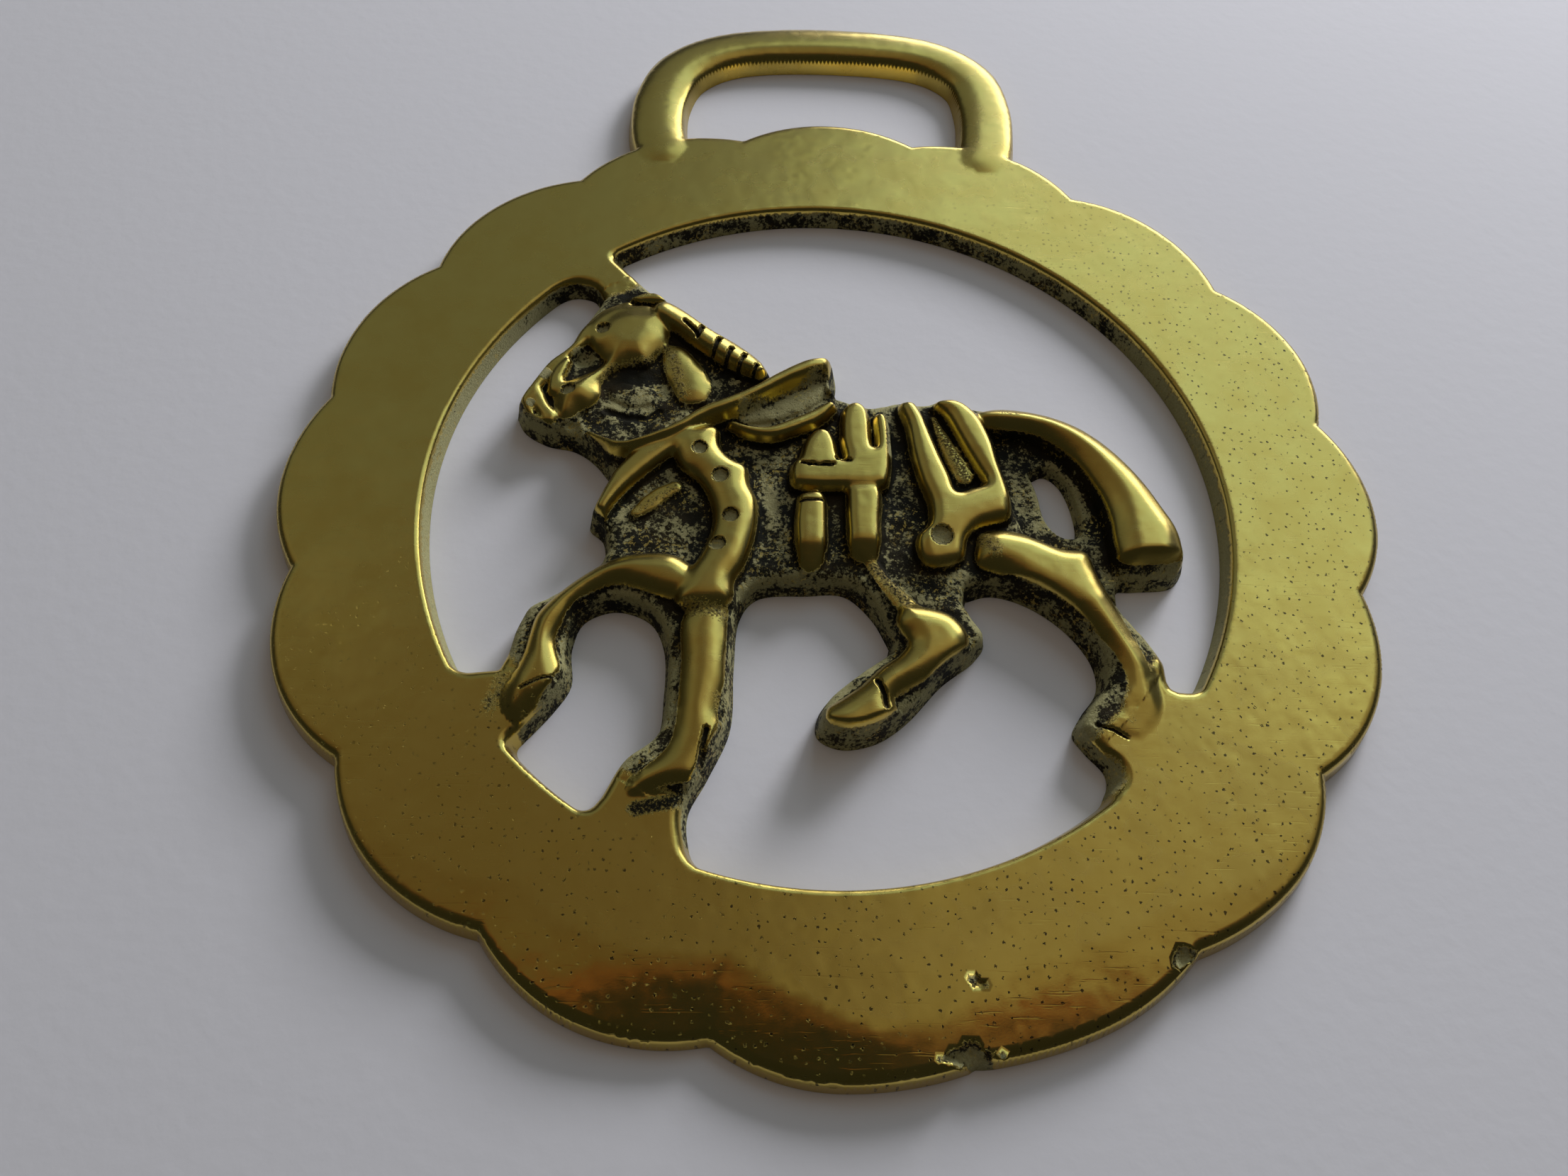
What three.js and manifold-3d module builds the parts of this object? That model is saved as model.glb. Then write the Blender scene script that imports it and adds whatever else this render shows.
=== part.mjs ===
// A horse brass: one flat-backed brass casting, a scalloped ring with a strap loop at the top and a
// harnessed horse, walking to the left, across its opening. Millimetres, +Z out of the face, +Y
// towards the loop. Outlines and ridges are measured from the ring's centre; at the end the casting
// is moved so that its box is centred over the origin, with its flat back on z = 0.
import * as THREE from 'three';
import { mergeVertices } from 'three/addons/utils/BufferGeometryUtils.js';
import Module from 'manifold-3d';

const wasm = await Module();
wasm.setup();

// Driving dimensions
const ring = { opening: 27.45, openingX: -0.3, thickness: 1.75, edge: 0.6 };
const plate = { thickness: 1.9, edge: 0.35 };
const tailWeb = { thickness: 1.2, edge: 0.2 };
const strapLoop = { crown: 2.3 };
const draft = 0.22;
const stockBelow = 1;
const outlineStep = 1.25;
const ridgeStep = 1.45;

// How far each of the ring's sixteen lobes reaches, from the right-hand one anticlockwise, and the
// notch that follows each: filed by hand, so no two are quite alike.
const lobes = [38.3, 38.6, 38.2, 38.4, 38.5, 38.4, 38.35, 38.3, 38.2, 38.4, 38.35, 38.4, 38.5, 38.3, 38.3, 38.05];
const notches = [36.7, 36.9, 36.6, 36.9, 36.9, 36.9, 36.75, 36.95, 36.7, 36.7, 36.9, 36.95, 38, 37.35, 36.4, 36.5];
const lobeSteps = 10;

// The horse's outline at the back of the plate, clockwise. A curve runs through each stretch, and
// the stretches meet at corners. At the crest, the feet and the arch it ends inside the ring.
const horseOutline = {
  crest: [[-17.4, 22.7], [-15.7, 20.7], [-13.7, 18.5], [-10.5, 15.7], [-8.4, 13.9], [-5.6, 12], [-4.6, 10.7]],
  collarEnd: [[-4.4, 10.3], [-3.2, 11], [-1.7, 12], [-0.6, 12.1], [0.3, 11.3], [0.4, 10.2], [0.2, 9.1]],
  back: [[0.5, 8.5], [2.6, 7.8], [4.8, 8.3], [6.6, 8.2], [8.4, 8.7], [10, 8], [11.3, 7.9]],
  rump: [[11.9, 5.5], [11.9, 3], [12.4, 0.5], [13.1, -2.2]],
  thigh: [[13.4, -3.3], [15.2, -4.1], [17.6, -4.4], [18, -6.8], [19.3, -9], [20.6, -11], [21.4, -12.6],
    [21.6, -14.2], [22.6, -14.4], [23.8, -14.9]],
  onRingRight: [[19, -21.5], [16.9, -22.3]],
  hindHoof: [[16.5, -21.4], [16.6, -19.9], [15.5, -18.2], [15, -17.3], [15.7, -15.9], [16.9, -14.2],
    [16.9, -12.3], [15.5, -9.9], [13, -7.9], [10.6, -7.2], [8.9, -7.7]],
  raisedHock: [[8.7, -8.6], [9.2, -9.6], [9.9, -10.9], [9.2, -12.1], [6.9, -14], [4.6, -16.6], [2.5, -18.1],
    [0.2, -18.5], [-1.2, -17.7], [-0.9, -15.9], [1.5, -13.6], [3.4, -12.2]],
  belly: [[3.6, -11.4], [2.5, -9.2], [0.7, -7.5], [-1.8, -7.5], [-5.1, -7.9], [-6.2, -9.4], [-6.5, -13.1],
    [-6.6, -17.4], [-7.9, -20.7], [-9, -23.2], [-8.6, -26.6]],
  onRingLeft: [[-11.5, -25.5], [-15.4, -23.3]],
  foreHoof: [[-14.3, -22.2], [-13.2, -20], [-11.2, -18.1], [-10.9, -15.3], [-11.1, -11.8], [-12.1, -9.9],
    [-14.4, -9.1], [-16.4, -10], [-17, -12], [-16.8, -14.6], [-17.6, -16.2], [-19.4, -18.6]],
  underRaisedHoof: [[-20.6, -19.4], [-24.7, -15.2]],
  hoofNotch: [[-24.1, -14.2], [-21.4, -13.9]],
  raisedForeleg: [[-21, -12.8], [-20.7, -11.1], [-20, -9.5], [-18.3, -8.3], [-15.7, -6.1]],
  chest: [[-15.4, -5.2], [-15.7, -3.7], [-16.7, -2.7], [-16.4, -1.4], [-15.8, 0.2]],
  chin: [[-15.7, 1.4], [-16.8, 2.8], [-18.3, 3.9], [-20.4, 4.4], [-22.1, 5.5], [-22.8, 6.8]],
  face: [[-22.5, 7.6], [-21.7, 9.3], [-20.7, 11.4], [-19.8, 12.3], [-19.3, 13.5], [-18.4, 15.5], [-17.8, 16.6]],
  arch: [[-17.6, 17.4], [-18.2, 18.4], [-19.9, 18.8], [-22, 18.5]],
};
const webOutline = [[11, 7], [15, 6.5], [19.5, 1], [20.9, -5.5], [19.9, -5.9], [19.1, -6.9], [19, -8.5],
  [16, -6], [12, -3]];
const webOpening = [[14.2, 2.3], [14.6, 0.6], [14.9, -1.4], [15.6, -2.5], [16.8, -2.6], [16.95, -0.6],
  [16.2, 2], [15.2, 2.8]];

// The raised work, as ridges: each row is x, y and half-width at the top, and crown is its height
// above the back.
const ridges = {
  maneRoll: { crown: 3.4, rows: [[-12, 15, 0.8], [-10.4, 13.7, 0.9], [-8.7, 12.1, 0.9], [-5.9, 10.1, 0.85],
    [-5, 9.4, 0.6]] },
  neck: { crown: 2.9, rows: [[-11.9, 12, 0.5], [-11, 10.3, 0.9], [-10.4, 8.7, 1], [-10.1, 7.5, 0.9]] },
  cheek: { crown: 3, rows: [[-14.4, 14.2, 1.9], [-14.3, 12.4, 2.1], [-15.3, 11.2, 1.4], [-16.4, 9.9, 1],
    [-17.3, 8.8, 1], [-18.3, 7.4, 1.5], [-19.2, 6.3, 1.5]] },
  muzzle: { crown: 2.5, rows: [[-19.2, 6.7, 1.4], [-20.5, 5.7, 1.3], [-21.5, 5.9, 0.7]] },
  collarBar: { crown: 3.5, rows: [[-17.2, 3.9, 0.3], [-16, 2.8, 0.45], [-15.1, 2.5, 0.4], [-13.5, 3.2, 0.45],
    [-10.3, 5, 0.7], [-8.6, 6.2, 0.8], [-5, 8, 0.75], [-1.2, 10.4, 0.6]] },
  hameStrap: { crown: 3.3, rows: [[-7.1, 4.9, 0.3], [-6.2, 4.5, 0.55], [-5.1, 4.3, 0.7], [-3.9, 4.7, 0.75],
    [-2.6, 5.3, 0.8], [-0.7, 6.7, 0.4]] },
  breastStrap: { crown: 3.2, rows: [[-9.9, 3.6, 1], [-11.6, 2.2, 0.95], [-14.3, -0.8, 0.8], [-15.5, -2.4, 0.5]] },
  studStrap: { crown: 3.3, rows: [[-9, 5.8, 0.9], [-9.3, 4.4, 1.2], [-9.2, 2.4, 1.6], [-8, 0.3, 1.7],
    [-6.9, -2.3, 1.45], [-7.1, -4.3, 1.35], [-7.7, -6.1, 1.6], [-8.2, -7.8, 1.7]] },
  chestRidge: { crown: 2.5, rows: [[-10.7, -0.1, 0.5], [-12.5, -2.2, 0.6], [-13.8, -3.8, 0.5]] },
  raisedForeleg: { crown: 3.2, rows: [[-8, -8, 1.7], [-10.5, -7.8, 1.2], [-12.8, -7.2, 1.1], [-14.6, -7.3, 0.95],
    [-16.3, -8.7, 0.9], [-17.9, -10.1, 0.95], [-18.5, -11.6, 0.95], [-18.6, -13.1, 0.9], [-18.8, -14.2, 1.1],
    [-19.2, -15.4, 1.3]] },
  standingForeleg: { crown: 3.1, rows: [[-8.5, -10.2, 1.4], [-8.6, -12.2, 1.35], [-8.7, -16.2, 1.1],
    [-8.7, -17.9, 1.3], [-9.2, -19.4, 1.6], [-10.1, -20.9, 1.8], [-10.7, -21.9, 1.7]] },
  saddle: { crown: 3.3, rows: [[-2, 0.6, 1.2], [0, 0.7, 1.15], [2.6, 1, 1.05]] },
  saddleFlapFront: { crown: 3.3, rows: [[-1.3, 1, 1.3], [-1.2, 2.8, 1.1], [-0.9, 3.8, 0.7], [-0.8, 4.3, 0.3]] },
  saddleFlapMiddle: { crown: 3.3, rows: [[1.6, 1.7, 1], [1.5, 3.7, 0.85], [1.4, 6.6, 0.6]] },
  saddleFlapRear: { crown: 3.1, rows: [[3.1, 1.8, 0.5], [3.1, 4.3, 0.35], [3, 6.4, 0.3]] },
  girthFront: { crown: 3.2, rows: [[-1.7, -1.5, 0.65], [-1.8, -3.3, 0.95], [-1.8, -5.3, 0.9], [-1.9, -6.3, 0.5]] },
  girthRear: { crown: 3.2, rows: [[1.8, -0.6, 0.9], [1.8, -2.2, 1], [1.9, -4.2, 1], [2, -5.6, 0.7]] },
  loinStrap: { crown: 3.3, rows: [[5.1, 6.8, 0.75], [5.6, 4.7, 0.95], [6.8, 0.5, 1.1], [7.3, -1.5, 1.2],
    [7.2, -3.5, 1.6], [7.2, -4.7, 1.6]] },
  breechingBar: { crown: 3.3, rows: [[7.9, -2, 1.2], [9.8, -1.7, 1.15], [11.1, -1.3, 1.05]] },
  crupperStrap: { crown: 3.3, rows: [[7.9, 7.2, 0.7], [8.8, 6.1, 0.85], [9.6, 4.7, 0.95], [10.2, 3.1, 0.9],
    [11.2, -0.3, 0.8]] },
  hipRidge: { crown: 2.6, rows: [[7.4, 6.6, 0.3], [8, 5.3, 0.4], [8.7, 3.8, 0.5], [9.7, 1.4, 0.5]] },
  tail: { crown: 3.1, rows: [[10.6, 6.4, 0.8], [12.6, 6.4, 0.9], [14.6, 6.1, 1], [16.7, 5, 1.25], [18.5, 3.1, 1.6],
    [19.9, 0.7, 1.9], [21, -1.6, 2.25], [21.5, -3.5, 2.4]] },
  hindLeg: { crown: 3.1, rows: [[9.8, -4.6, 1.1], [11.7, -5, 1.5], [13.7, -5.8, 1.8], [15.6, -6.8, 1.9],
    [17.1, -8.8, 1.5], [18.4, -10.9, 1.4], [19, -12.8, 1.3], [18.9, -14.4, 1.4], [18.3, -15.9, 1.7],
    [17.7, -17.2, 1.8]] },
  raisedHindLeg: { crown: 3.1, rows: [[3.7, -9.2, 0.6], [5.4, -10.2, 1], [6.6, -11.3, 1.4], [6.3, -12.6, 1.3],
    [5, -13.7, 1.3], [3.5, -14.9, 1.2], [1.9, -16.2, 1.3], [0.9, -16.9, 1.2]] },
};
const loopRows = [[-13.9, 34.6, 2.2], [-14.5, 37.5, 2.2], [-14.4, 41.5, 2.2], [-12.9, 45.4, 2.15],
  [-9, 48.2, 2.05], [0, 49.4, 2.05], [9.2, 48.3, 2.05], [12.8, 45.4, 2.1], [13.8, 41.5, 2.2],
  [13.7, 37.5, 2.2], [13.2, 34.6, 2.2]];

// Round hollows and cuts in the raised work: x, y and radius, and a groove's x, y, length, turn.
const hollows = [[-9.4, 2.3, 0.55], [-7.9, 0, 0.65], [-7, -3.2, 0.65], [-7.8, -5.4, 0.6], [7.1, -4.4, 0.8],
  [-18.8, 7.3, 0.6], [-17.3, 12.8, 0.9], [-17.9, 10.5, 0.9]];
const hollowFloor = 2.5;
const grooves = [[-10.5, 13.2, 1.5, 0.9], [-9.3, 12.3, 1.5, 0.75], [-8, 11, 1.4, 1.1], [-6.9, 10.1, 1.3, 1.2],
  [-13.5, 15.9, 2.2, 0.1], [-1.2, 1.5, 2, 0]];
const groove = { width: 0.3, depth: 0.6 };

const sample = (points, step) => {
  const curve = new THREE.CatmullRomCurve3(points.map(([x, y, w = 0]) => new THREE.Vector3(x, y, w)), false,
    'centripetal');
  return curve.getSpacedPoints(Math.max(2, Math.round(curve.getLength() / step)));
};

const toSolid = (geometry) => {
  geometry.deleteAttribute('normal');
  geometry.deleteAttribute('uv');
  const merged = mergeVertices(geometry, 1e-4);
  return new wasm.Manifold(new wasm.Mesh({
    numProp: 3,
    vertProperties: new Float32Array(merged.attributes.position.array),
    triVerts: new Uint32Array(merged.index.array),
  }));
};

// A plate from under the back up to its thickness, with a bevelled face edge
const cast = (shape, { thickness, edge }) => {
  const geometry = new THREE.ExtrudeGeometry(shape, {
    depth: thickness, bevelThickness: edge, bevelSize: edge, bevelOffset: -edge, bevelSegments: 2, curveSegments: 4,
  });
  geometry.translate(0, 0, -edge);
  return toSolid(geometry);
};

// The ring: across each lobe the rim falls away from its reach to the notches with the square of
// the angle
const ringSolid = () => {
  const halfPitch = Math.PI / lobes.length;
  const rim = lobes.flatMap((reach, lobe) => Array.from({ length: lobeSteps }, (_, step) => {
    const across = (2 * step) / lobeSteps - 1;
    const notch = notches[(lobe + (across < 0 ? lobes.length - 1 : 0)) % lobes.length];
    const radius = reach - (reach - notch) * across ** 2;
    const angle = (2 * lobe + across) * halfPitch;
    return new THREE.Vector2(radius * Math.cos(angle), radius * Math.sin(angle));
  }));
  const shape = new THREE.Shape(rim);
  const circle = new THREE.EllipseCurve(ring.openingX, 0, ring.opening, ring.opening).getPoints(72);
  shape.holes.push(new THREE.Path(circle.slice(1)));
  return cast(shape, ring);
};

const horsePlate = () => {
  const stretches = Object.values(horseOutline).map((points) => sample(points, outlineStep));
  return cast(new THREE.Shape(stretches.flat().map(({ x, y }) => new THREE.Vector2(x, y))), plate);
};

const webPlate = () => {
  const shape = new THREE.Shape(webOutline.map(([x, y]) => new THREE.Vector2(x, y)));
  const rim = sample([...webOpening, webOpening[0]], 1).slice(1);
  shape.holes.push(new THREE.Path(rim.map(({ x, y }) => new THREE.Vector2(x, y))));
  return cast(shape, tailWeb);
};

// A ridge with a rounded crown, drafted sides and rounded ends: its section is carried along the
// curve through its rows, and each end is drawn in over its last half-width.
const ridgeSolid = (rows, crown) => {
  const path = sample(rows, ridgeStep);
  const lead = [0.3, 0.72];
  const stations = path.map((point, i) => {
    const ahead = path[Math.min(i + 1, path.length - 1)];
    const behind = path[Math.max(i - 1, 0)];
    return { x: point.x, y: point.y, w: point.z, turn: Math.atan2(ahead.y - behind.y, ahead.x - behind.x), full: 1 };
  });
  const noses = (end, way) => lead.map((full) => {
    const out = way * end.w * Math.sqrt(1 - full ** 2);
    return { ...end, x: end.x + out * Math.cos(end.turn), y: end.y + out * Math.sin(end.turn), full };
  });
  const all = [...noses(stations[0], -1), ...stations, ...noses(stations[stations.length - 1], 1).reverse()];
  const positions = [];
  const sides = 7;
  all.forEach(({ x, y, w, turn, full }) => {
    const halfWidth = w * full;
    const top = crown - (1 - full) * 0.8 * w;
    const shoulder = top - 0.5 * Math.min(w, 1.2);
    const foot = halfWidth + draft * (shoulder + stockBelow);
    const section = [[-foot, -stockBelow], [foot, -stockBelow], [halfWidth, shoulder], [0.66 * halfWidth, top - 0.13 * w],
      [0, top], [-0.66 * halfWidth, top - 0.13 * w], [-halfWidth, shoulder]];
    section.forEach(([across, z]) => positions.push(x - across * Math.sin(turn), y + across * Math.cos(turn), z));
  });
  const index = [];
  for (let i = 0; i < all.length - 1; i += 1) {
    for (let j = 0; j < sides; j += 1) {
      const [a, b] = [i * sides + j, i * sides + ((j + 1) % sides)];
      index.push(a, b, b + sides, a, b + sides, a + sides);
    }
  }
  const last = (all.length - 1) * sides;
  for (let j = 1; j < sides - 1; j += 1) {
    index.push(0, j + 1, j, last, last + j, last + j + 1);
  }
  const geometry = new THREE.BufferGeometry();
  geometry.setAttribute('position', new THREE.Float32BufferAttribute(positions, 3));
  geometry.setIndex(index);
  return toSolid(geometry);
};

const hollowSolid = ([x, y, radius]) => {
  const ball = new THREE.SphereGeometry(radius, 10, 8);
  ball.scale(1, 1, 1.4);
  ball.translate(x, y, hollowFloor + 1.4 * radius);
  return toSolid(ball);
};

const grooveSolid = ([x, y, length, turn]) => {
  const cut = new THREE.BoxGeometry(length, groove.width, 2 * groove.depth);
  cut.rotateZ(turn);
  cut.translate(x, y, ridges.maneRoll.crown);
  return toSolid(cut);
};

// Everything below the back is trimmed off flat
const trimSolid = () => {
  const block = new THREE.BoxGeometry(200, 200, 2 * stockBelow + 2);
  block.translate(0, 0, -stockBelow - 1);
  return toSolid(block);
};

const casting = () => {
  let solid = ringSolid().add(horsePlate()).add(webPlate()).add(ridgeSolid(loopRows, strapLoop.crown));
  Object.values(ridges).forEach(({ crown, rows }) => {
    solid = solid.add(ridgeSolid(rows, crown));
  });
  [...hollows.map(hollowSolid), ...grooves.map(grooveSolid), trimSolid()].forEach((cut) => {
    solid = solid.subtract(cut);
  });
  const { vertProperties, triVerts } = solid.getMesh();
  const geometry = new THREE.BufferGeometry();
  geometry.setAttribute('position', new THREE.BufferAttribute(vertProperties, 3));
  geometry.setIndex(new THREE.BufferAttribute(triVerts, 1));
  geometry.computeVertexNormals();
  geometry.computeBoundingBox();
  return geometry;
};

const brass = new THREE.MeshStandardMaterial({ color: '#a58a3c', roughness: 0.3, metalness: 1 });
const mesh = new THREE.Mesh(casting(), brass);
mesh.name = 'brass_casting';
const { min, max } = mesh.geometry.boundingBox;
mesh.position.set(-(min.x + max.x) / 2, -(min.y + max.y) / 2, 0);

const group = new THREE.Group();
group.add(mesh);

export default group;
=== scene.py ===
import bpy
import math
import numpy as np
from functools import partial
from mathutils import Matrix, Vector
from mathutils.geometry import delaunay_2d_cdt


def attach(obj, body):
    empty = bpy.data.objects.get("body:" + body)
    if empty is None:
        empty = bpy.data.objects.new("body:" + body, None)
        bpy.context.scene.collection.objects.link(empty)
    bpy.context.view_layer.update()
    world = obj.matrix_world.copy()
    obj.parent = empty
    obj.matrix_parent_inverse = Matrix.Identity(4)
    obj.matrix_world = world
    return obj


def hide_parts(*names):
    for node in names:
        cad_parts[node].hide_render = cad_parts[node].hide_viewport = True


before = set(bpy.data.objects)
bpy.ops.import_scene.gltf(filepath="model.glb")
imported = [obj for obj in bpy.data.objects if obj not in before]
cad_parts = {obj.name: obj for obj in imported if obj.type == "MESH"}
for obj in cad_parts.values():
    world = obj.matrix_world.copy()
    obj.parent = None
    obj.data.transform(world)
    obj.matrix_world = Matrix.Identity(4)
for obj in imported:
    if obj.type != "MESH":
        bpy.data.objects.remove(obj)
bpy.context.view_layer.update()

mm = 0.001
ringCentre = (-0.05, -6.66)  # where the CAD puts the ring's centre, in mm

# The ring, in mm. reach is how far each lobe comes out, from the right-hand one anticlockwise, and
# notch is the filed notch that follows each.
ring = {
    "reach": [38.3, 38.6, 38.2, 38.4, 38.5, 38.4, 38.35, 38.3,
              38.2, 38.4, 38.35, 38.4, 38.5, 38.3, 38.3, 38.05],
    "notch": [36.7, 36.9, 36.6, 36.9, 36.9, 36.9, 36.75, 36.95,
              36.7, 36.7, 36.9, 36.95, 38.0, 37.35, 36.4, 36.5],
    "opening": 27.45,
    "openingX": -0.3,
    "thickness": 1.75,
    "outerRound": 0.75,  # how wide the outer edge is rounded over
    "innerRound": 0.5,
    "draft": 0.16,
}

# The strap loop: a bar of D section; each row is x, y and half-width
strapLoop = {
    "crown": 2.0,
    "dome": 0.7,
    "draft": 0.24,
    "fillet": 0.3,     # where it runs into the ring
    "curveStep": 0.6,  # from point to point along its curve
    "rows": [[-13.9, 34.6, 2.2], [-14.5, 37.5, 2.2], [-14.4, 41.5, 2.2], [-12.9, 45.4, 2.15],
             [-9, 48.2, 2.05], [0, 49.4, 2.05], [9.2, 48.3, 2.05], [12.8, 45.4, 2.1], [13.8, 41.5, 2.2],
             [13.7, 37.5, 2.2], [13.2, 34.6, 2.2]],
}

# The horse's plate, seen from above, clockwise in stretches that meet at corners
horsePlate = {
    "thickness": 1.9,
    "edgeRound": 0.75,
    "draft": 0.22,
    "fillet": 0.9,  # where it runs into the ring
    "curveStep": 0.4,
    "outline": [
        [[-17.4, 22.7], [-15.7, 20.7], [-13.7, 18.5], [-10.5, 15.7], [-8.4, 13.9], [-5.6, 12], [-4.6, 10.7]],
        [[-4.4, 10.3], [-3.2, 11], [-1.7, 12], [-0.6, 12.1], [0.3, 11.3], [0.4, 10.2], [0.2, 9.1]],
        [[0.5, 8.5], [2.6, 7.8], [4.8, 8.3], [6.6, 8.2], [8.4, 8.7], [10, 8], [11.3, 7.9]],
        [[11.9, 5.5], [11.9, 3], [12.4, 0.5], [13.1, -2.2]],
        [[13.4, -3.3], [15.2, -4.1], [17.6, -4.4], [18, -6.8], [19.3, -9], [20.6, -11], [21.4, -12.6],
         [21.6, -14.2], [22.6, -14.4], [23.8, -14.9]],
        [[25.3, -15.9], [20.6, -23], [18, -24]],
        [[16.5, -21.4], [16.6, -19.9], [15.5, -18.2], [15, -17.3], [15.7, -15.9], [16.9, -14.2],
         [16.9, -12.3], [15.5, -9.9], [13, -7.9], [10.6, -7.2], [8.9, -7.7]],
        [[8.7, -8.6], [9.2, -9.6], [9.9, -10.9], [9.2, -12.1], [6.9, -14], [4.6, -16.6], [2.5, -18.1],
         [0.2, -18.5], [-1.2, -17.7], [-0.9, -15.9], [1.5, -13.6], [3.4, -12.2]],
        [[3.6, -11.4], [2.5, -9.2], [0.7, -7.5], [-1.8, -7.5], [-5.1, -7.9], [-6.2, -9.4], [-6.5, -13.1],
         [-6.6, -17.4], [-7.9, -20.7], [-9, -23.2], [-8.5, -26.6]],
        [[-9.1, -28.2], [-16.4, -25]],
        [[-14.3, -22.2], [-13.2, -20], [-11.2, -18.1], [-10.9, -15.3], [-11.1, -11.8], [-12.1, -9.9],
         [-14.4, -9.1], [-16.4, -10], [-17, -12], [-16.8, -14.6], [-17.6, -16.2], [-19.4, -18.6]],
        [[-21.9, -20.7], [-26.2, -16.1]],
        [[-24.1, -14.2], [-21.4, -13.9]],
        [[-21, -12.8], [-20.7, -11.1], [-20, -9.5], [-18.3, -8.3], [-15.7, -6.1]],
        [[-15.4, -5.2], [-15.7, -3.7], [-16.7, -2.7], [-16.4, -1.4], [-15.8, 0.2]],
        [[-15.7, 1.4], [-16.8, 2.8], [-18.3, 3.9], [-20.4, 4.4], [-22.1, 5.5], [-22.8, 6.8]],
        [[-22.5, 7.6], [-21.7, 9.3], [-20.7, 11.4], [-19.8, 12.3], [-19.3, 13.5], [-18.4, 15.5],
         [-17.8, 16.6]],
        [[-17.6, 17.4], [-18.2, 18.4], [-19.9, 18.8], [-22, 18.5]],
        [[-23.3, 19.7], [-18.5, 24]],
    ],
}

tailWeb = {
    "thickness": 1.2,
    "edgeRound": 0.3,
    "draft": 0.22,
    "curveStep": 0.3,
    "outline": [[11, 7], [15, 6.5], [19.5, 1], [20.9, -5.5], [19.9, -5.9], [19.1, -6.9], [19, -8.5], [16, -6],
                [12, -3]],
    "opening": [[14.2, 2.3], [14.6, 0.6], [14.9, -1.4], [15.6, -2.5], [16.8, -2.6], [16.95, -0.6], [16.2, 2],
                [15.2, 2.8]],
}

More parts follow.
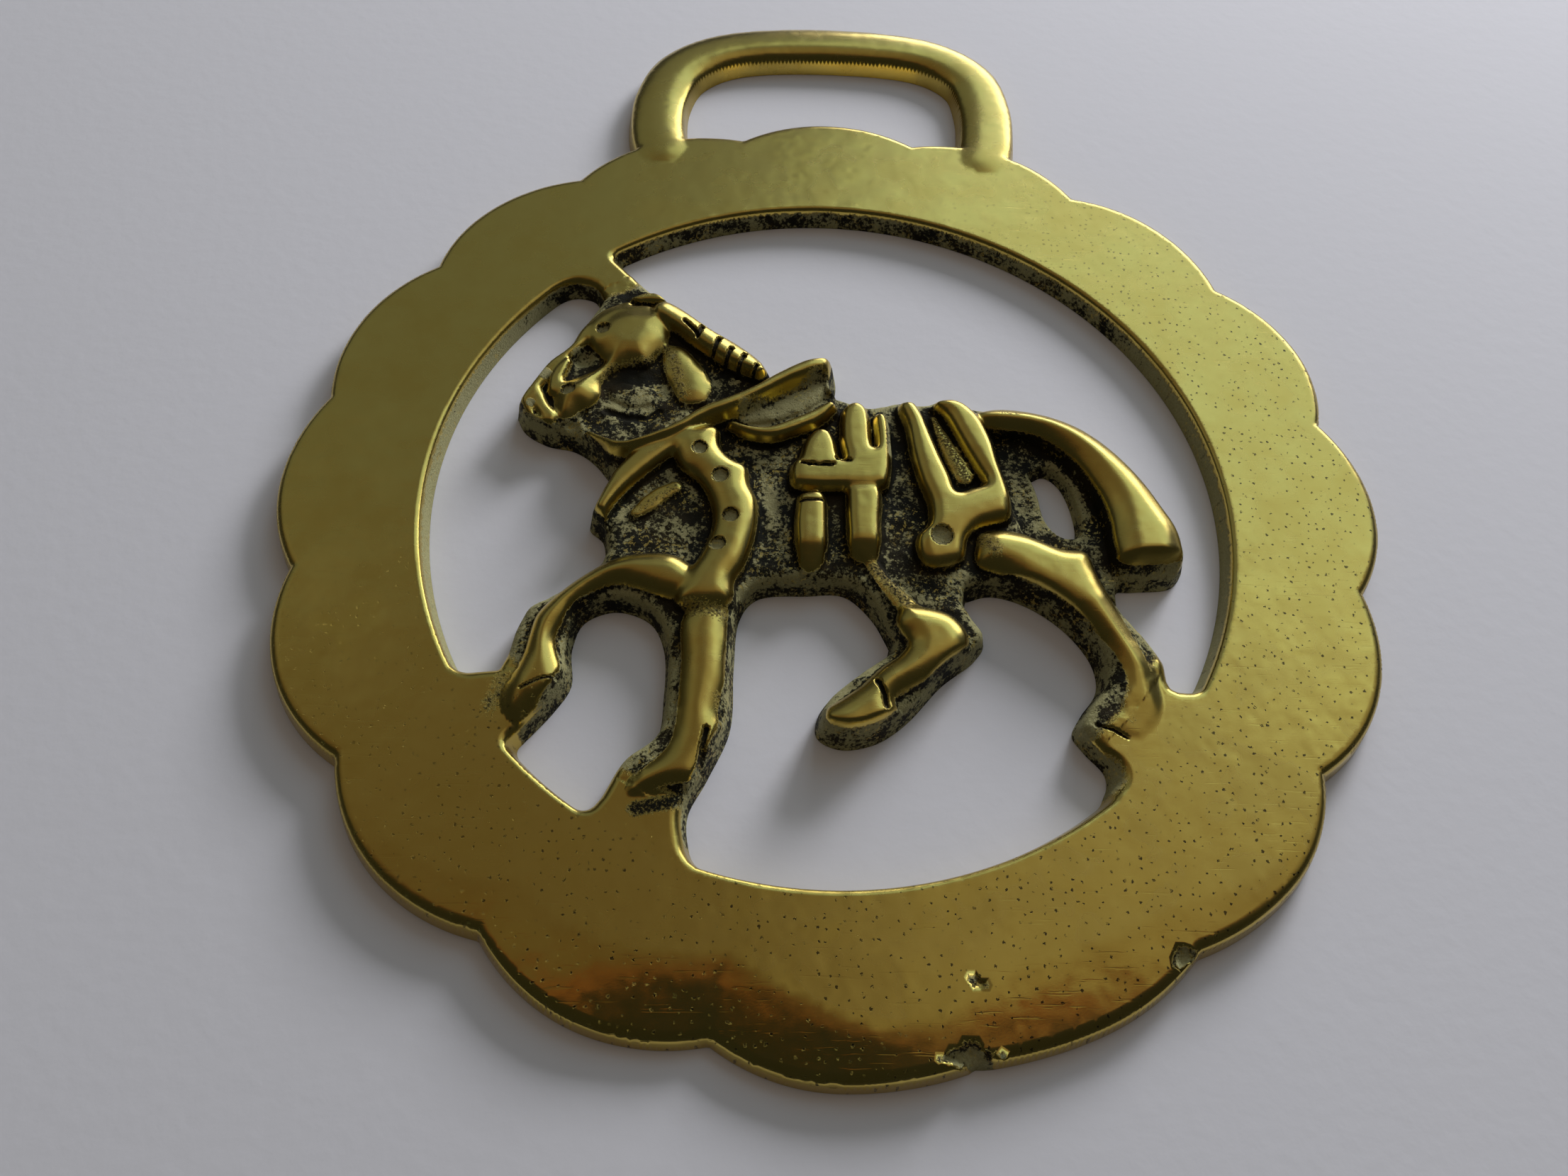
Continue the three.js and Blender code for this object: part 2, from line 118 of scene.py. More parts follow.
# The raised work. A mass fills an outline: its crown falls by dome over the width of its shoulder, then
# its side falls by the draft. A slope starts on a line (a point and a direction) and falls at a rate.
masses = {
    "head": {"crown": 3.05, "dome": 0.8, "shoulder": 1.9, "draft": 0.35,
        "slopes": [[-18.6, 7.6, -0.6, -0.8, 0.12]],
        "outline": [[-16.7, 15.1], [-15.5, 15.7], [-13.4, 15.8], [-12, 15.9], [-11.1, 15], [-11.9, 14],
        [-12.2, 12.5], [-12.8, 11.4], [-13.6, 10.3], [-14.9, 10.3], [-16, 9.7], [-16.7, 8.5], [-16.7, 7.3],
        [-17.3, 6.4], [-17.9, 6], [-18.5, 5.3], [-19.1, 5], [-19.7, 5.6], [-20, 7.3], [-19.7, 8.2],
        [-18.7, 8.9], [-17.3, 9.7], [-16.6, 10.6], [-17.7, 12.1], [-17.6, 13.8]]},
    "brow": {"crown": 2.72, "dome": 0.35, "shoulder": 0.7, "draft": 0.4,
        "outline": [[-18, 12.6], [-18, 13.8], [-17.3, 14.9], [-16.3, 15.7], [-15, 16], [-13.5, 16],
        [-13, 15.3], [-14, 13.5], [-15.5, 12], [-16.8, 11.6], [-17.6, 12]]},
    "neck": {"crown": 2.5, "dome": 0.35, "shoulder": 1.3, "draft": 0.35,
        "outline": [[-12.4, 12.5], [-10.9, 12.2], [-9.9, 11], [-9.1, 9.8], [-8.7, 8.4], [-9.3, 7.1],
        [-10.8, 7], [-11.7, 8.5], [-12.4, 10.4]]},
    "studStrap": {"crown": 3.25, "dome": 0.5, "shoulder": 1.2,
        "outline": [[-10.6, 4.4], [-8.2, 4.5], [-8, 3], [-7.2, 1.9], [-6.1, 1.2], [-5.9, -0.2], [-5.4, -1.4],
        [-5.3, -3.2], [-5.6, -5.1], [-6.1, -6.7], [-6.7, -7.8], [-6.9, -9.5], [-10.2, -9.6], [-9.6, -7.4],
        [-8.9, -6.1], [-8.3, -4.5], [-8.1, -2.9], [-8.5, -1.3], [-9.3, 0.1], [-10.4, 1], [-11, 2.1],
        [-11.3, 3.4]]},
    "raisedForeleg": {"crown": 2.95, "dome": 0.6, "shoulder": 1.35, "draft": 0.3,
        "slopes": [[-18.4, -10.6, -0.2, -0.98, 0.05], [-19.2, -15.6, -0.78, -0.62, 0.15]],
        "outline": [[-7.1, -9.2], [-9.1, -9.4], [-11, -9], [-12.8, -8.4], [-14.2, -8.1], [-15.3, -8.5],
        [-16.6, -9.6], [-17.4, -11], [-17.8, -12.1], [-17.7, -12.8], [-17.3, -14], [-16.9, -15.2],
        [-17.1, -15.8], [-18.4, -16.7], [-19.7, -17.9], [-20.6, -17.2], [-20.7, -15.8], [-20.1, -14.6],
        [-19.6, -13.2], [-19.4, -11.8], [-19.1, -10.6], [-18.1, -9.2], [-16.3, -7.5], [-14.7, -6.4],
        [-13.2, -5.9], [-10.7, -5.9], [-9.3, -6.8]]},
    "standingForeleg": {"crown": 2.75, "dome": 0.55, "shoulder": 1.45, "draft": 0.3,
        "slopes": [[-8.5, -12, -0.1, -0.99, 0.02], [-10.2, -21, -0.12, -0.99, 0.2]],
        "outline": [[-9.3, -9.3], [-7.1, -9.3], [-6.9, -11.2], [-6.9, -14.5], [-7.2, -16.2], [-7.3, -17.1],
        [-7, -18.3], [-6.9, -19.5], [-7.5, -20.2], [-7.9, -21.1], [-8.1, -21.8], [-9.8, -22.1],
        [-12.4, -22.5], [-12.7, -22], [-12.2, -21.1], [-11.2, -20.2], [-10.4, -19.3], [-10, -17.9],
        [-9.9, -16.2], [-9.8, -13.8], [-9.9, -10.8]]},
    "saddle": {"crown": 3.15, "dome": 0.22, "shoulder": 0.6,
        "outline": [[-2.3, 2], [-1.8, 3.7], [-1.1, 4.5], [-0.4, 4.4], [0, 3.5], [0.3, 2.1], [0.8, 1.9],
        [0.6, 3.7], [0.9, 6.6], [1.7, 7], [2.3, 6.5], [2.7, 3], [3, 3.1], [3.1, 6.1], [3.6, 6], [3.7, 0.4],
        [3.4, -0.1], [0.5, -0.3], [-2.3, -0.3], [-2.8, -0.1], [-2.9, 1], [-2.7, 1.7]]},
    "girthFront": {"crown": 3.05, "dome": 0.25, "shoulder": 0.6,
        "slopes": [[-1.6, -4.9, 0, -1, 0.45]],
        "outline": [[-2.4, -1], [-0.9, -0.8], [-0.6, -3.4], [-0.7, -5.6], [-1.1, -6.9], [-1.6, -7.4],
        [-2.1, -7.2], [-2.4, -6.2], [-2.6, -3.5]]},
    "girthRear": {"crown": 3.05, "dome": 0.25, "shoulder": 0.6,
        "slopes": [[2, -4.5, 0, -1, 0.5]],
        "outline": [[0.9, -0.3], [2.9, -0.2], [3, -3.3], [2.9, -5.3], [2.6, -6.2], [1.9, -6.2], [1.1, -5.6],
        [0.9, -3.4]]},
    "loinHarness": {"crown": 3.2, "dome": 0.35, "shoulder": 0.8,
        "slopes": [[9.6, -1.8, 0.4, -0.92, 0.1]],
        "outline": [[4.8, 7.1], [5.7, 7.2], [6.3, 6.2], [6.8, 4.5], [7.3, 2.8], [7.9, 1], [8.4, -0.5],
        [9.4, -0.2], [10.4, 0.3], [9.9, 1.8], [9.2, 3.4], [8.6, 4.9], [8, 6.3], [7.3, 7.2], [8.8, 7.5],
        [10.2, 6.3], [11.3, 3.2], [11.8, 0.7], [12, -1.4], [11.8, -2.3], [9.8, -3.1], [8.9, -4], [8.5, -5.6],
        [7.8, -6.1], [6.2, -6.3], [5.6, -5.5], [5.6, -4.1], [6.4, -3.1], [6.5, -1.6], [5.9, 0.5], [5.5, 2.6],
        [5.2, 5.2], [4.8, 6.5]]},
    "tail": {"crown": 3.15, "dome": 0.85, "shoulder": 1.8,
        "slopes": [[21, -4.95, 0.08, -0.99, 1.25]],
        "outline": [[10.1, 6.7], [11.7, 7.1], [13.8, 7], [15.8, 6.5], [17.5, 5.7], [19, 4.5], [20.4, 2.9],
        [21.7, 0.9], [22.6, -1], [23.3, -2.6], [23.5, -4.1], [23.4, -5.3], [22.9, -6.1], [21, -6.4],
        [19.2, -6.3], [18.9, -4.5], [18.8, -2.2], [18.5, -0.5], [17.9, 1], [17.1, 2.5], [16, 3.8],
        [14.6, 4.8], [13.1, 5.2], [11.4, 5.4], [10.3, 5.9]]},
    "hindLeg": {"crown": 3.05, "dome": 0.8, "shoulder": 1.6, "draft": 0.3,
        "slopes": [[16.9, -8.6, 0.2, -0.98, 0.125], [18.8, -15.9, 0.4, -0.92, 0.03]],
        "outline": [[9.7, -3.6], [11, -3.2], [13, -3.5], [15.3, -4.5], [16.9, -4.8], [17.4, -6.3],
        [18.2, -8.6], [19.3, -10.8], [20.4, -12.7], [20.7, -14.2], [21, -15.9], [20.6, -17.4], [19, -18.9],
        [17, -18.5], [15.6, -18.3], [14.4, -18.6], [14.8, -17.8], [15.8, -16.6], [17.1, -15], [17.6, -13.9],
        [17.4, -12.5], [16.3, -10.7], [14.7, -9.1], [12.6, -7.8], [11.2, -6.8], [9.5, -5.9]]},
    "raisedHindLeg": {"crown": 3.0, "dome": 0.6, "shoulder": 1.4, "draft": 0.3,
        "slopes": [[1.2, -18, -0.1, -0.99, 0.18], [-0.6, -17.6, -0.9, -0.4, 0.2]],
        "outline": [[4.3, -9.3], [6.2, -9.5], [7.5, -10], [8.3, -11.1], [8.4, -12.1], [7.8, -13.1],
        [5.9, -14.4], [3.5, -16.1], [4.1, -17.3], [3.9, -18.3], [2.9, -19], [0.9, -19.3], [-0.5, -19.1],
        [-1.3, -18.6], [-1.4, -17.9], [-1, -17], [0.4, -16], [1.6, -15.1], [2.9, -13.8], [4, -13],
        [4.6, -12], [3.9, -10.7]]},
}

# Each ridge runs through rows of x, y, half-width and, where it dips, how far its crown lies below the
# ridge's own; dome is how far the crown falls from its middle to its edge.
ridges = {
    "faceRim": {"crown": 2.5, "dome": 0.35, "draft": 0.4,
        "rows": [[-15.4, 16, 0.4], [-16.7, 15.2, 0.5], [-17.6, 14.1, 0.5], [-18.2, 13.1, 0.5],
        [-18.7, 12.1, 0.32], [-19.4, 11.2, 0.28], [-20.1, 10.4, 0.35], [-20.8, 9.3, 0.35],
        [-21.4, 8.1, 0.42], [-21.8, 6.9, 0.45], [-21.7, 5.7, 0.4, 0.2]]},
    "noseBand": {"crown": 2.6, "dome": 0.25,
        "rows": [[-19.2, 10.5, 0.15], [-19.6, 9.7, 0.38], [-19.9, 8.8, 0.45], [-19.8, 7.9, 0.6]]},
    "nostril": {"crown": 2.45, "dome": 0.3,
        "rows": [[-21.2, 7.6, 0.35], [-20.9, 6.7, 0.45], [-20.5, 6, 0.45], [-20, 5.4, 0.45]]},
    "lips": {"crown": 2.3, "dome": 0.3,
        "rows": [[-21.3, 5.4, 0.25], [-20.6, 4.9, 0.3], [-19.9, 4.9, 0.25]]},
    "ear": {"crown": 2.6, "dome": 0.35,
        "rows": [[-14.8, 16.6, 0.3], [-13.8, 16.9, 0.45], [-12.9, 16.8, 0.4]]},
    "jaw": {"crown": 2.12, "dome": 0.2, "draft": 0.6,
        "rows": [[-15.2, 7.9, 0.8], [-14.2, 7.6, 0.9], [-13.4, 7.7, 0.7]]},
    "maneRoll": {"crown": 3.35, "dome": 0.45, "draft": 0.26, "slopes": [[-9.8, 12.7, 0.61, 0.79, 0.36]],
        "rows": [[-12.4, 15.4, 0.85], [-10.8, 14.3, 1.05], [-9.35, 13.15, 1.12], [-8, 11.95, 1.05],
        [-6.7, 10.95, 0.92], [-5.4, 10, 0.6]]},
    "collarBar": {"crown": 3.45, "dome": 0.3, "draft": 0.42,
        "rows": [[-0.6, 10.4, 0.4, 0.1], [-1.7, 10, 0.48], [-3.3, 9.1, 0.42], [-5.4, 7.6, 0.36],
        [-7, 6.6, 0.4], [-9.1, 5.5, 0.36], [-10.8, 4.2, 0.25], [-13.1, 3, 0.16], [-14.6, 2.5, 0.12],
        [-15.9, 2.9, 0.16, 0.2], [-17.2, 3.8, 0.12, 0.6]]},
    "collarEnd": {"crown": 2.9, "dome": 0.2,
        "rows": [[-0.5, 10.4, 0.25], [-0.2, 9.4, 0.15, 0.1], [-0.2, 8.4, 0.12, 0.4]]},
    "collarSlope": {"crown": 2.22, "dome": 0.3, "draft": 0.5,
        "rows": [[-6.4, 5.9, 0.5], [-4.2, 6.6, 0.8], [-2, 8, 1.0], [-0.8, 8.8, 0.7]]},
    "hameStrap": {"crown": 3.15, "dome": 0.3, "draft": 0.3,
        "rows": [[-7.2, 4.8, 0.12], [-5.9, 4.2, 0.3], [-4.3, 4.15, 0.42], [-2.8, 4.8, 0.48],
        [-1.2, 5.7, 0.46], [-0.2, 6.6, 0.3]]},
    "breastStrap": {"crown": 3.05, "dome": 0.4,
        "rows": [[-10.3, 3.9, 0.6], [-12.3, 2.5, 0.85], [-13.8, 0.9, 0.8], [-15.1, -1, 0.62],
        [-15.8, -2.8, 0.4, 0.1], [-15.9, -4.1, 0.25, 0.4]]},
    "chestRidge": {"crown": 2.26, "dome": 0.2, "draft": 0.4,
        "rows": [[-10.9, -0.3, 0.5], [-11.8, -0.9, 0.55], [-12.8, -1.9, 0.55], [-13.4, -2.5, 0.4]]},
    "hipRidge": {"crown": 2.24, "dome": 0.1,
        "rows": [[7.2, 6.3, 0.15], [7.7, 4.8, 0.35], [8.4, 3, 0.55], [9.1, 1.2, 0.65]]},
    "flank": {"crown": 2.24, "dome": 0.3, "draft": 0.6,
        "rows": [[2.2, -5.8, 0.4], [3, -7.2, 0.5], [4.2, -8.8, 0.7], [5.4, -10, 0.7]]},
}

# The finer work on the casting
detail = {
    "curveStep": 0.35,
    "massDraft": 0.26,                  # of the masses and ridges that name none
    "ridgeDraft": 0.35,
    "fillet": 0.25,                     # where raised work meets the ground, mm
    "roundAtOutline": (3.6, 1.6, 0.2),  # height, radius and draft of the fullest edge a limb can have
    # the cast skin: the size of its grain and how rough it is, mm
    "skin": [(0.2, 0.02), (0.6, 0.03)],
    "skinSeed": 7,
    "polishedSkin": 0.12,               # the share of it left where the casting was polished
    # round hollows punched in the raised work: x, y, radius and depth
    "hollows": [[-9.3, 2.35, 0.5, 0.32], [-7.8, 0.1, 0.55, 0.35], [-7, -3.15, 0.52, 0.35],
                [-7.8, -5.35, 0.52, 0.32], [7.1, -4.2, 0.72, 0.35], [-18.9, 7.6, 0.5, 0.4],
                [-16.9, 13.4, 0.5, 0.4]],
    # softer dips in the ground, the same way
    "dips": [[-18.2, 11.1, 0.95, 0.45], [-20.8, 9.2, 0.6, 0.35], [-21.5, 6.5, 0.4, 0.3],
             [-18.4, 4.7, 0.6, 0.3], [16.3, -20.3, 1.5, 0.9]],
    # cut lines: points, half-width and depth
    "cutLines": [
        [[[-10.9, 14], [-10.2, 13.2], [-9.9, 12.8]], 0.15, 0.4], [[[-9.9, 12.6], [-9.6, 13.7]], 0.15, 0.4],
        [[[-8.7, 11.2], [-8.3, 12.5]], 0.15, 0.45], [[[-7.8, 10.3], [-7.4, 11.5]], 0.14, 0.45],
        [[[-6.9, 9.7], [-6.4, 11]], 0.14, 0.4], [[[-5.8, 9.3], [-5.5, 10]], 0.12, 0.35],
        [[[-15, 16.4], [-14.4, 16.2], [-13.4, 16.1], [-12.5, 16.4]], 0.16, 0.35],
        [[[-2.2, 1.4], [-1.1, 1.25], [-0.1, 1.35]], 0.12, 0.35], [[[0.2, 1.9], [1.1, 1.75]], 0.13, 0.35],
        [[[-2.3, -1.7], [-0.8, -1.6]], 0.1, 0.15],
        [[[-16.2, 6.3], [-14.8, 5.7], [-13.3, 5.6], [-12.4, 6.2]], 0.24, 0.14],
        [[[-19.5, -15.9], [-18.4, -15.3], [-17.4, -15]], 0.07, 0.14],
        [[[16.1, -17.2], [17.1, -17.5], [18, -18]], 0.09, 0.2],
        [[[-8, -18.3], [-8.2, -19.4], [-8.3, -20.7]], 0.16, 0.4],
        [[[2.5, -14.9], [2.9, -15.9], [3, -16.7]], 0.15, 0.35]],
    # the rubbed-down lower rim: angle in degrees, how wide the worn band is there and how far it drops
    "worn": [[0, 0.8, 0], [205, 0.8, 0], [226, 2.2, 0.12], [238, 4, 0.28], [246, 4.6, 0.4], [252, 5, 0.66],
             [259, 5, 0.72], [266, 4.6, 0.62], [273, 3.2, 0.4], [279, 3, 0.28], [286, 4.6, 0.44],
             [294, 4.6, 0.42], [304, 3.2, 0.26], [313, 2, 0.14], [328, 0.8, 0], [360, 0.8, 0]],
    # shallow casting flaws in the rim: x, y, half-length, half-width, angle and depth
    "flaws": [[6.9, -36.7, 1.35, 0.6, -5, 0.5], [19.4, -31.2, 0.8, 0.45, 35, 0.4],
              [7.5, -32.7, 0.45, 0.22, 150, 0.25], [8.7, -36.4, 0.4, 0.25, 10, 0.25]],
}

meshPlan = {
    "grid": 0.1,                     # sampling of the height grid, mm
    "gridArea": ((-40, -40), (40.01, 53.01)),
    "wholeArea": ((-39, -39), (39, 53)),
    "horseArea": ((-27.5, -27.5), (28.0, 28.0)),
    "outlineSpacing": 0.2,
    "levels": [0.4, 0.8, 1.15, 1.45, 1.65, 2.0, 2.25, 2.5, 2.75, 2.95, 3.12],
    "steep": 1.1,                    # a slope above this gets rows of points along its height lines
    "rowSpacing": 0.17,
    "edgeRows": [0.45, 0.75, 1.05],  # rows that follow the ring's edges, mm in from them
    "edgeRowSpacing": 0.32,
    "fineSpacing": 0.135,            # point spacing over the horse
    "fineGap": 0.06,                 # the least room left between those points and a row
    "fineMargin": 0.9,               # how far they go onto the ring
    "coarseSpacing": 0.5,            # point spacing over the ring and the loop
    "coarseGap": 0.12,
    "backSpacing": 2.2,
    "nudge": 0.04,                   # half the step over which the front's slopes are taken
}


def curveThrough(rows, step):
    # an even centripetal curve through the rows, with every column carried along
    p = np.array([list(r) + [0.0] * (4 - len(r)) for r in rows], float)
    p = np.vstack([2 * p[0] - p[1], p, 2 * p[-1] - p[-2]])
    out = []
    for i in range(1, len(p) - 2):
        a, b, c, d = p[i - 1:i + 3]
        knots = [0.0]
        for u, v in ((a, b), (b, c), (c, d)):
            knots.append(knots[-1] + max(np.hypot(*(v - u)[:2]), 1e-6) ** 0.5)
        k0, k1, k2, k3 = knots
        n = max(1, int(round(np.hypot(*(c - b)[:2]) / step)))
        for t in k1 + (k2 - k1) * np.arange(n) / n:
            ab = ((k1 - t) * a + (t - k0) * b) / (k1 - k0)
            bc = ((k2 - t) * b + (t - k1) * c) / (k2 - k1)
            cd = ((k3 - t) * c + (t - k2) * d) / (k3 - k2)
            abc = ((k2 - t) * ab + (t - k0) * bc) / (k2 - k0)
            bcd = ((k3 - t) * bc + (t - k1) * cd) / (k3 - k1)
            out.append(((k2 - t) * abc + (t - k1) * bcd) / (k2 - k1))
    out.append(p[-2])
    return np.array(out)


def smoothMax(a, b, k):
    h = np.clip(0.5 + 0.5 * (a - b) / k, 0, 1)
    return b + (a - b) * h + k * h * (1 - h)


def smoothStep(low, high, v):
    t = np.clip((v - low) / (high - low), 0, 1)
    return t * t * (3 - 2 * t)


def fadeOut(full, gone, v):
    # 1 up to full, 0 from gone on
    return 1 - smoothStep(full, gone, v)


def boxAround(x, y, points, pad):
    low, high = points.min(0) - pad, points.max(0) + pad
    return (x > low[0]) & (x < high[0]) & (y > low[1]) & (y < high[1])


def insideDistance(x, y, loop, reach=2.5):
    # how far inside a closed outline each point lies, negative outside, exact up to reach
    near = np.full(x.shape, reach)
    inside = np.zeros(x.shape, bool)
    for (ax, ay), (bx, by) in zip(loop, np.roll(loop, -1, axis=0)):
        box = boxAround(x, y, np.array([[ax, ay], [bx, by]]), reach)
        dx, dy = bx - ax, by - ay
        px, py = x[box] - ax, y[box] - ay
        t = np.clip((px * dx + py * dy) / (dx * dx + dy * dy), 0, 1)
        near[box] = np.minimum(near[box], np.hypot(px - t * dx, py - t * dy))
        if ay != by:
            row = (y >= min(ay, by)) & (y < max(ay, by))
            inside[row] ^= x[row] < ax + (y[row] - ay) * dx / dy
    return np.where(inside, near, -near)


def edgeProfile(s, height, rounding, draft):
    # height against the distance in from an outline: a drafted side and a rounded edge
    side = (height - rounding) * draft
    u = np.clip((s - side) / rounding, 0, 1)
    return np.where(s < side, s / draft, height - rounding + rounding * np.sqrt(1 - (1 - u) ** 2))


def fromOpening(x, y):
    return np.hypot(x - ring["openingX"], y) - ring["opening"]


def ringField(x, y):
    # how far inside the scalloped rim each point lies, and how far outside the opening
    r, a = np.hypot(x, y), np.arctan2(y, x)
    pitch = 2 * math.pi / len(ring["reach"])
    lobe = np.round(a / pitch)
    across = 2 * (a / pitch - lobe)
    k = lobe.astype(int) % len(ring["reach"])
    reach, notch = np.array(ring["reach"]), np.array(ring["notch"])
    cusp = np.where(across < 0, notch[k - 1], notch[k])
    rim = reach[k] - (reach[k] - cusp) * across ** 2
    # the lobes' edge slants, so it lies a little nearer than along the radius
    return (rim - r) * 0.985, fromOpening(x, y)


def lineDistance(x, y, line):
    best = np.full(x.shape, 99.0)
    for (ax, ay), (bx, by) in zip(line[:-1], line[1:]):
        dx, dy = bx - ax, by - ay
        t = np.clip(((x - ax) * dx + (y - ay) * dy) / (dx * dx + dy * dy + 1e-9), 0, 1)
        best = np.minimum(best, np.hypot(x - ax - t * dx, y - ay - t * dy))
    return best


def flawDistance(x, y, fx, fy, long, half, angle):
    # 1 on the rim of an oval flaw whose edge wanders a little
    c, s = math.cos(math.radians(angle)), math.sin(math.radians(angle))
    u, v = ((x - fx) * c + (y - fy) * s) / long, ((y - fy) * c - (x - fx) * s) / half
    turn = np.arctan2(v, u)
    return np.hypot(u, v) * (1 + 0.16 * np.sin(3 * turn + fx) + 0.1 * np.sin(7 * turn))


def massHeight(x, y, mass):
    lowest = np.full(x.shape, -1.0)
    box = boxAround(x, y, mass["loop"], 2.4)
    px, py = x[box], y[box]
    s = insideDistance(px, py, mass["loop"])
    top = mass["crown"] - mass["dome"] * (1 - np.clip(s / mass["shoulder"], 0, 1)) ** 2
    for sx, sy, nx, ny, rate in mass.get("slopes", []):
        top = top - rate * (smoothMax((px - sx) * nx + (py - sy) * ny, 0.0, 0.2) - 0.05)
    lowest[box] = np.maximum(np.where(s < 0, top + s / mass.get("draft", detail["massDraft"]), top), -1.0)
    return lowest


def ridgeHeight(x, y, ridge):
    # the ridge's height over each point; far outside its foot it goes on falling
    path = ridge["path"]
    lowest = np.full(x.shape, -1.0)
    box = boxAround(x, y, path[:, :2], path[:, 2].max() + 1.4)
    px, py = x[box], y[box]
    best = np.full(px.shape, 9.0)
    width, drop = np.ones(px.shape), np.zeros(px.shape)
    for a, b in zip(path[:-1], path[1:]):
        dx, dy = b[0] - a[0], b[1] - a[1]
        t = np.clip(((px - a[0]) * dx + (py - a[1]) * dy) / (dx * dx + dy * dy + 1e-12), 0, 1)
        w = a[2] + t * (b[2] - a[2])
        d = np.hypot(px - a[0] - t * dx, py - a[1] - t * dy) - w
        closer = d < best
        best = np.where(closer, d, best)
        width = np.where(closer, w, width)
        drop = np.where(closer, a[3] + t * (b[3] - a[3]), drop)
    u = np.clip((best + width) / width, 0, 1)
    dome = ridge["dome"] * np.minimum(width, 1.2) / 1.2
    top = ridge["crown"] - drop - dome * (1 - np.sqrt(1 - 0.94 * u ** 2.4)) / (1 - math.sqrt(0.06))
    for sx, sy, nx, ny, rate in ridge.get("slopes", []):
        top = top - rate * smoothMax((px - sx) * nx + (py - sy) * ny, 0.0, 0.2)
    lowest[box] = np.where(best > 0, top - best / ridge.get("draft", detail["ridgeDraft"]), top)
    return lowest


def spotDistance(x, y, spot):
    # 1 on the rim of a round spot; its row starts with x, y and radius
    return np.hypot(x - spot[0], y - spot[1]) / spot[2]


def closedCurve(points, step):
    return curveThrough(points + points[:1], step)[:-1, :2]


outlineLoop = np.vstack([curveThrough(s, horsePlate["curveStep"])[:, :2] for s in horsePlate["outline"]])
webLoop = np.array(tailWeb["outline"], float)
webHole = closedCurve(tailWeb["opening"], tailWeb["curveStep"])
strapLoop["path"] = curveThrough(strapLoop["rows"], strapLoop["curveStep"])
for one in ridges.values():
    one["path"] = curveThrough(one["rows"], detail["curveStep"])
for one in masses.values():
    one["loop"] = closedCurve(one["outline"], detail["curveStep"])


def edgeDistance(x, y):
    # where the plate meets the ring the outlines run together with a fillet
    return smoothMax(np.minimum(*ringField(x, y)), insideDistance(x, y, outlineLoop), horsePlate["fillet"])


def bodyHeight(x, y):
    # ring, loop, plate and raised work, before the fine cuts
    outer, inner = ringField(x, y)
    joined = edgeDistance(x, y)
    onRing = smoothStep(-0.6, 0.5, inner)
    thicker = horsePlate["thickness"] - ring["thickness"]
    thickness = ring["thickness"] + thicker * smoothStep(0.5, -5.0, inner)
    innerRound = ring["innerRound"] * onRing + horsePlate["edgeRound"] * (1 - onRing)
    rounding = np.where(outer < 3, ring["outerRound"], innerRound)
    draft = ring["draft"] * onRing + horsePlate["draft"] * (1 - onRing)
    height = edgeProfile(joined, thickness, rounding, draft)
    for dip in detail["dips"]:
        height = height - dip[3] * fadeOut(0.2, 1.15, spotDistance(x, y, dip))
    for name, mass in masses.items():
        if name != "tail":
            height = smoothMax(height, massHeight(x, y, mass), detail["fillet"])
    for ridge in ridges.values():
        height = smoothMax(height, ridgeHeight(x, y, ridge), detail["fillet"])
    # nothing stands higher than a full round that starts at the outline
    height = -smoothMax(-height, -edgeProfile(joined, *detail["roundAtOutline"]), 0.2)
    web = np.minimum(insideDistance(x, y, webLoop), -insideDistance(x, y, webHole))
    web = edgeProfile(web, tailWeb["thickness"], tailWeb["edgeRound"], tailWeb["draft"])
    height = np.maximum(height, web)
    height = smoothMax(height, massHeight(x, y, masses["tail"]), detail["fillet"])
    height = smoothMax(height, ridgeHeight(x, y, strapLoop), strapLoop["fillet"])
    turn = np.degrees(np.arctan2(y, x)) % 360
    angle, width, drop = np.array(detail["worn"]).T
    across = np.clip(outer / np.interp(turn, angle, width), 0, 1)
    return height - np.interp(turn, angle, drop) * (1 - across) ** 1.2 * (outer > -1) * (y < 0)


def cutDepth(x, y):
    total = np.zeros(x.shape)
    for hollow in detail["hollows"]:
        total = total + hollow[3] * fadeOut(0.7, 1.15, spotDistance(x, y, hollow))
    for line, half, depth in detail["cutLines"]:
        total = total + depth * fadeOut(half * 0.3, half * 1.7, lineDistance(x, y, line))
    for *oval, depth in detail["flaws"]:
        total = total + depth * fadeOut(0.5, 1.1, flawDistance(x, y, *oval))
    return total


def reliefHeight(x, y):
    # polishing softens every edge above the ground a little; below it the exact shape stands
    exact = bodyHeight(x, y)
    tops = smoothStep(1.9, 2.3, exact)
    return exact + (sampleGrid(softened, x, y) - exact) * tops - cutDepth(x, y)


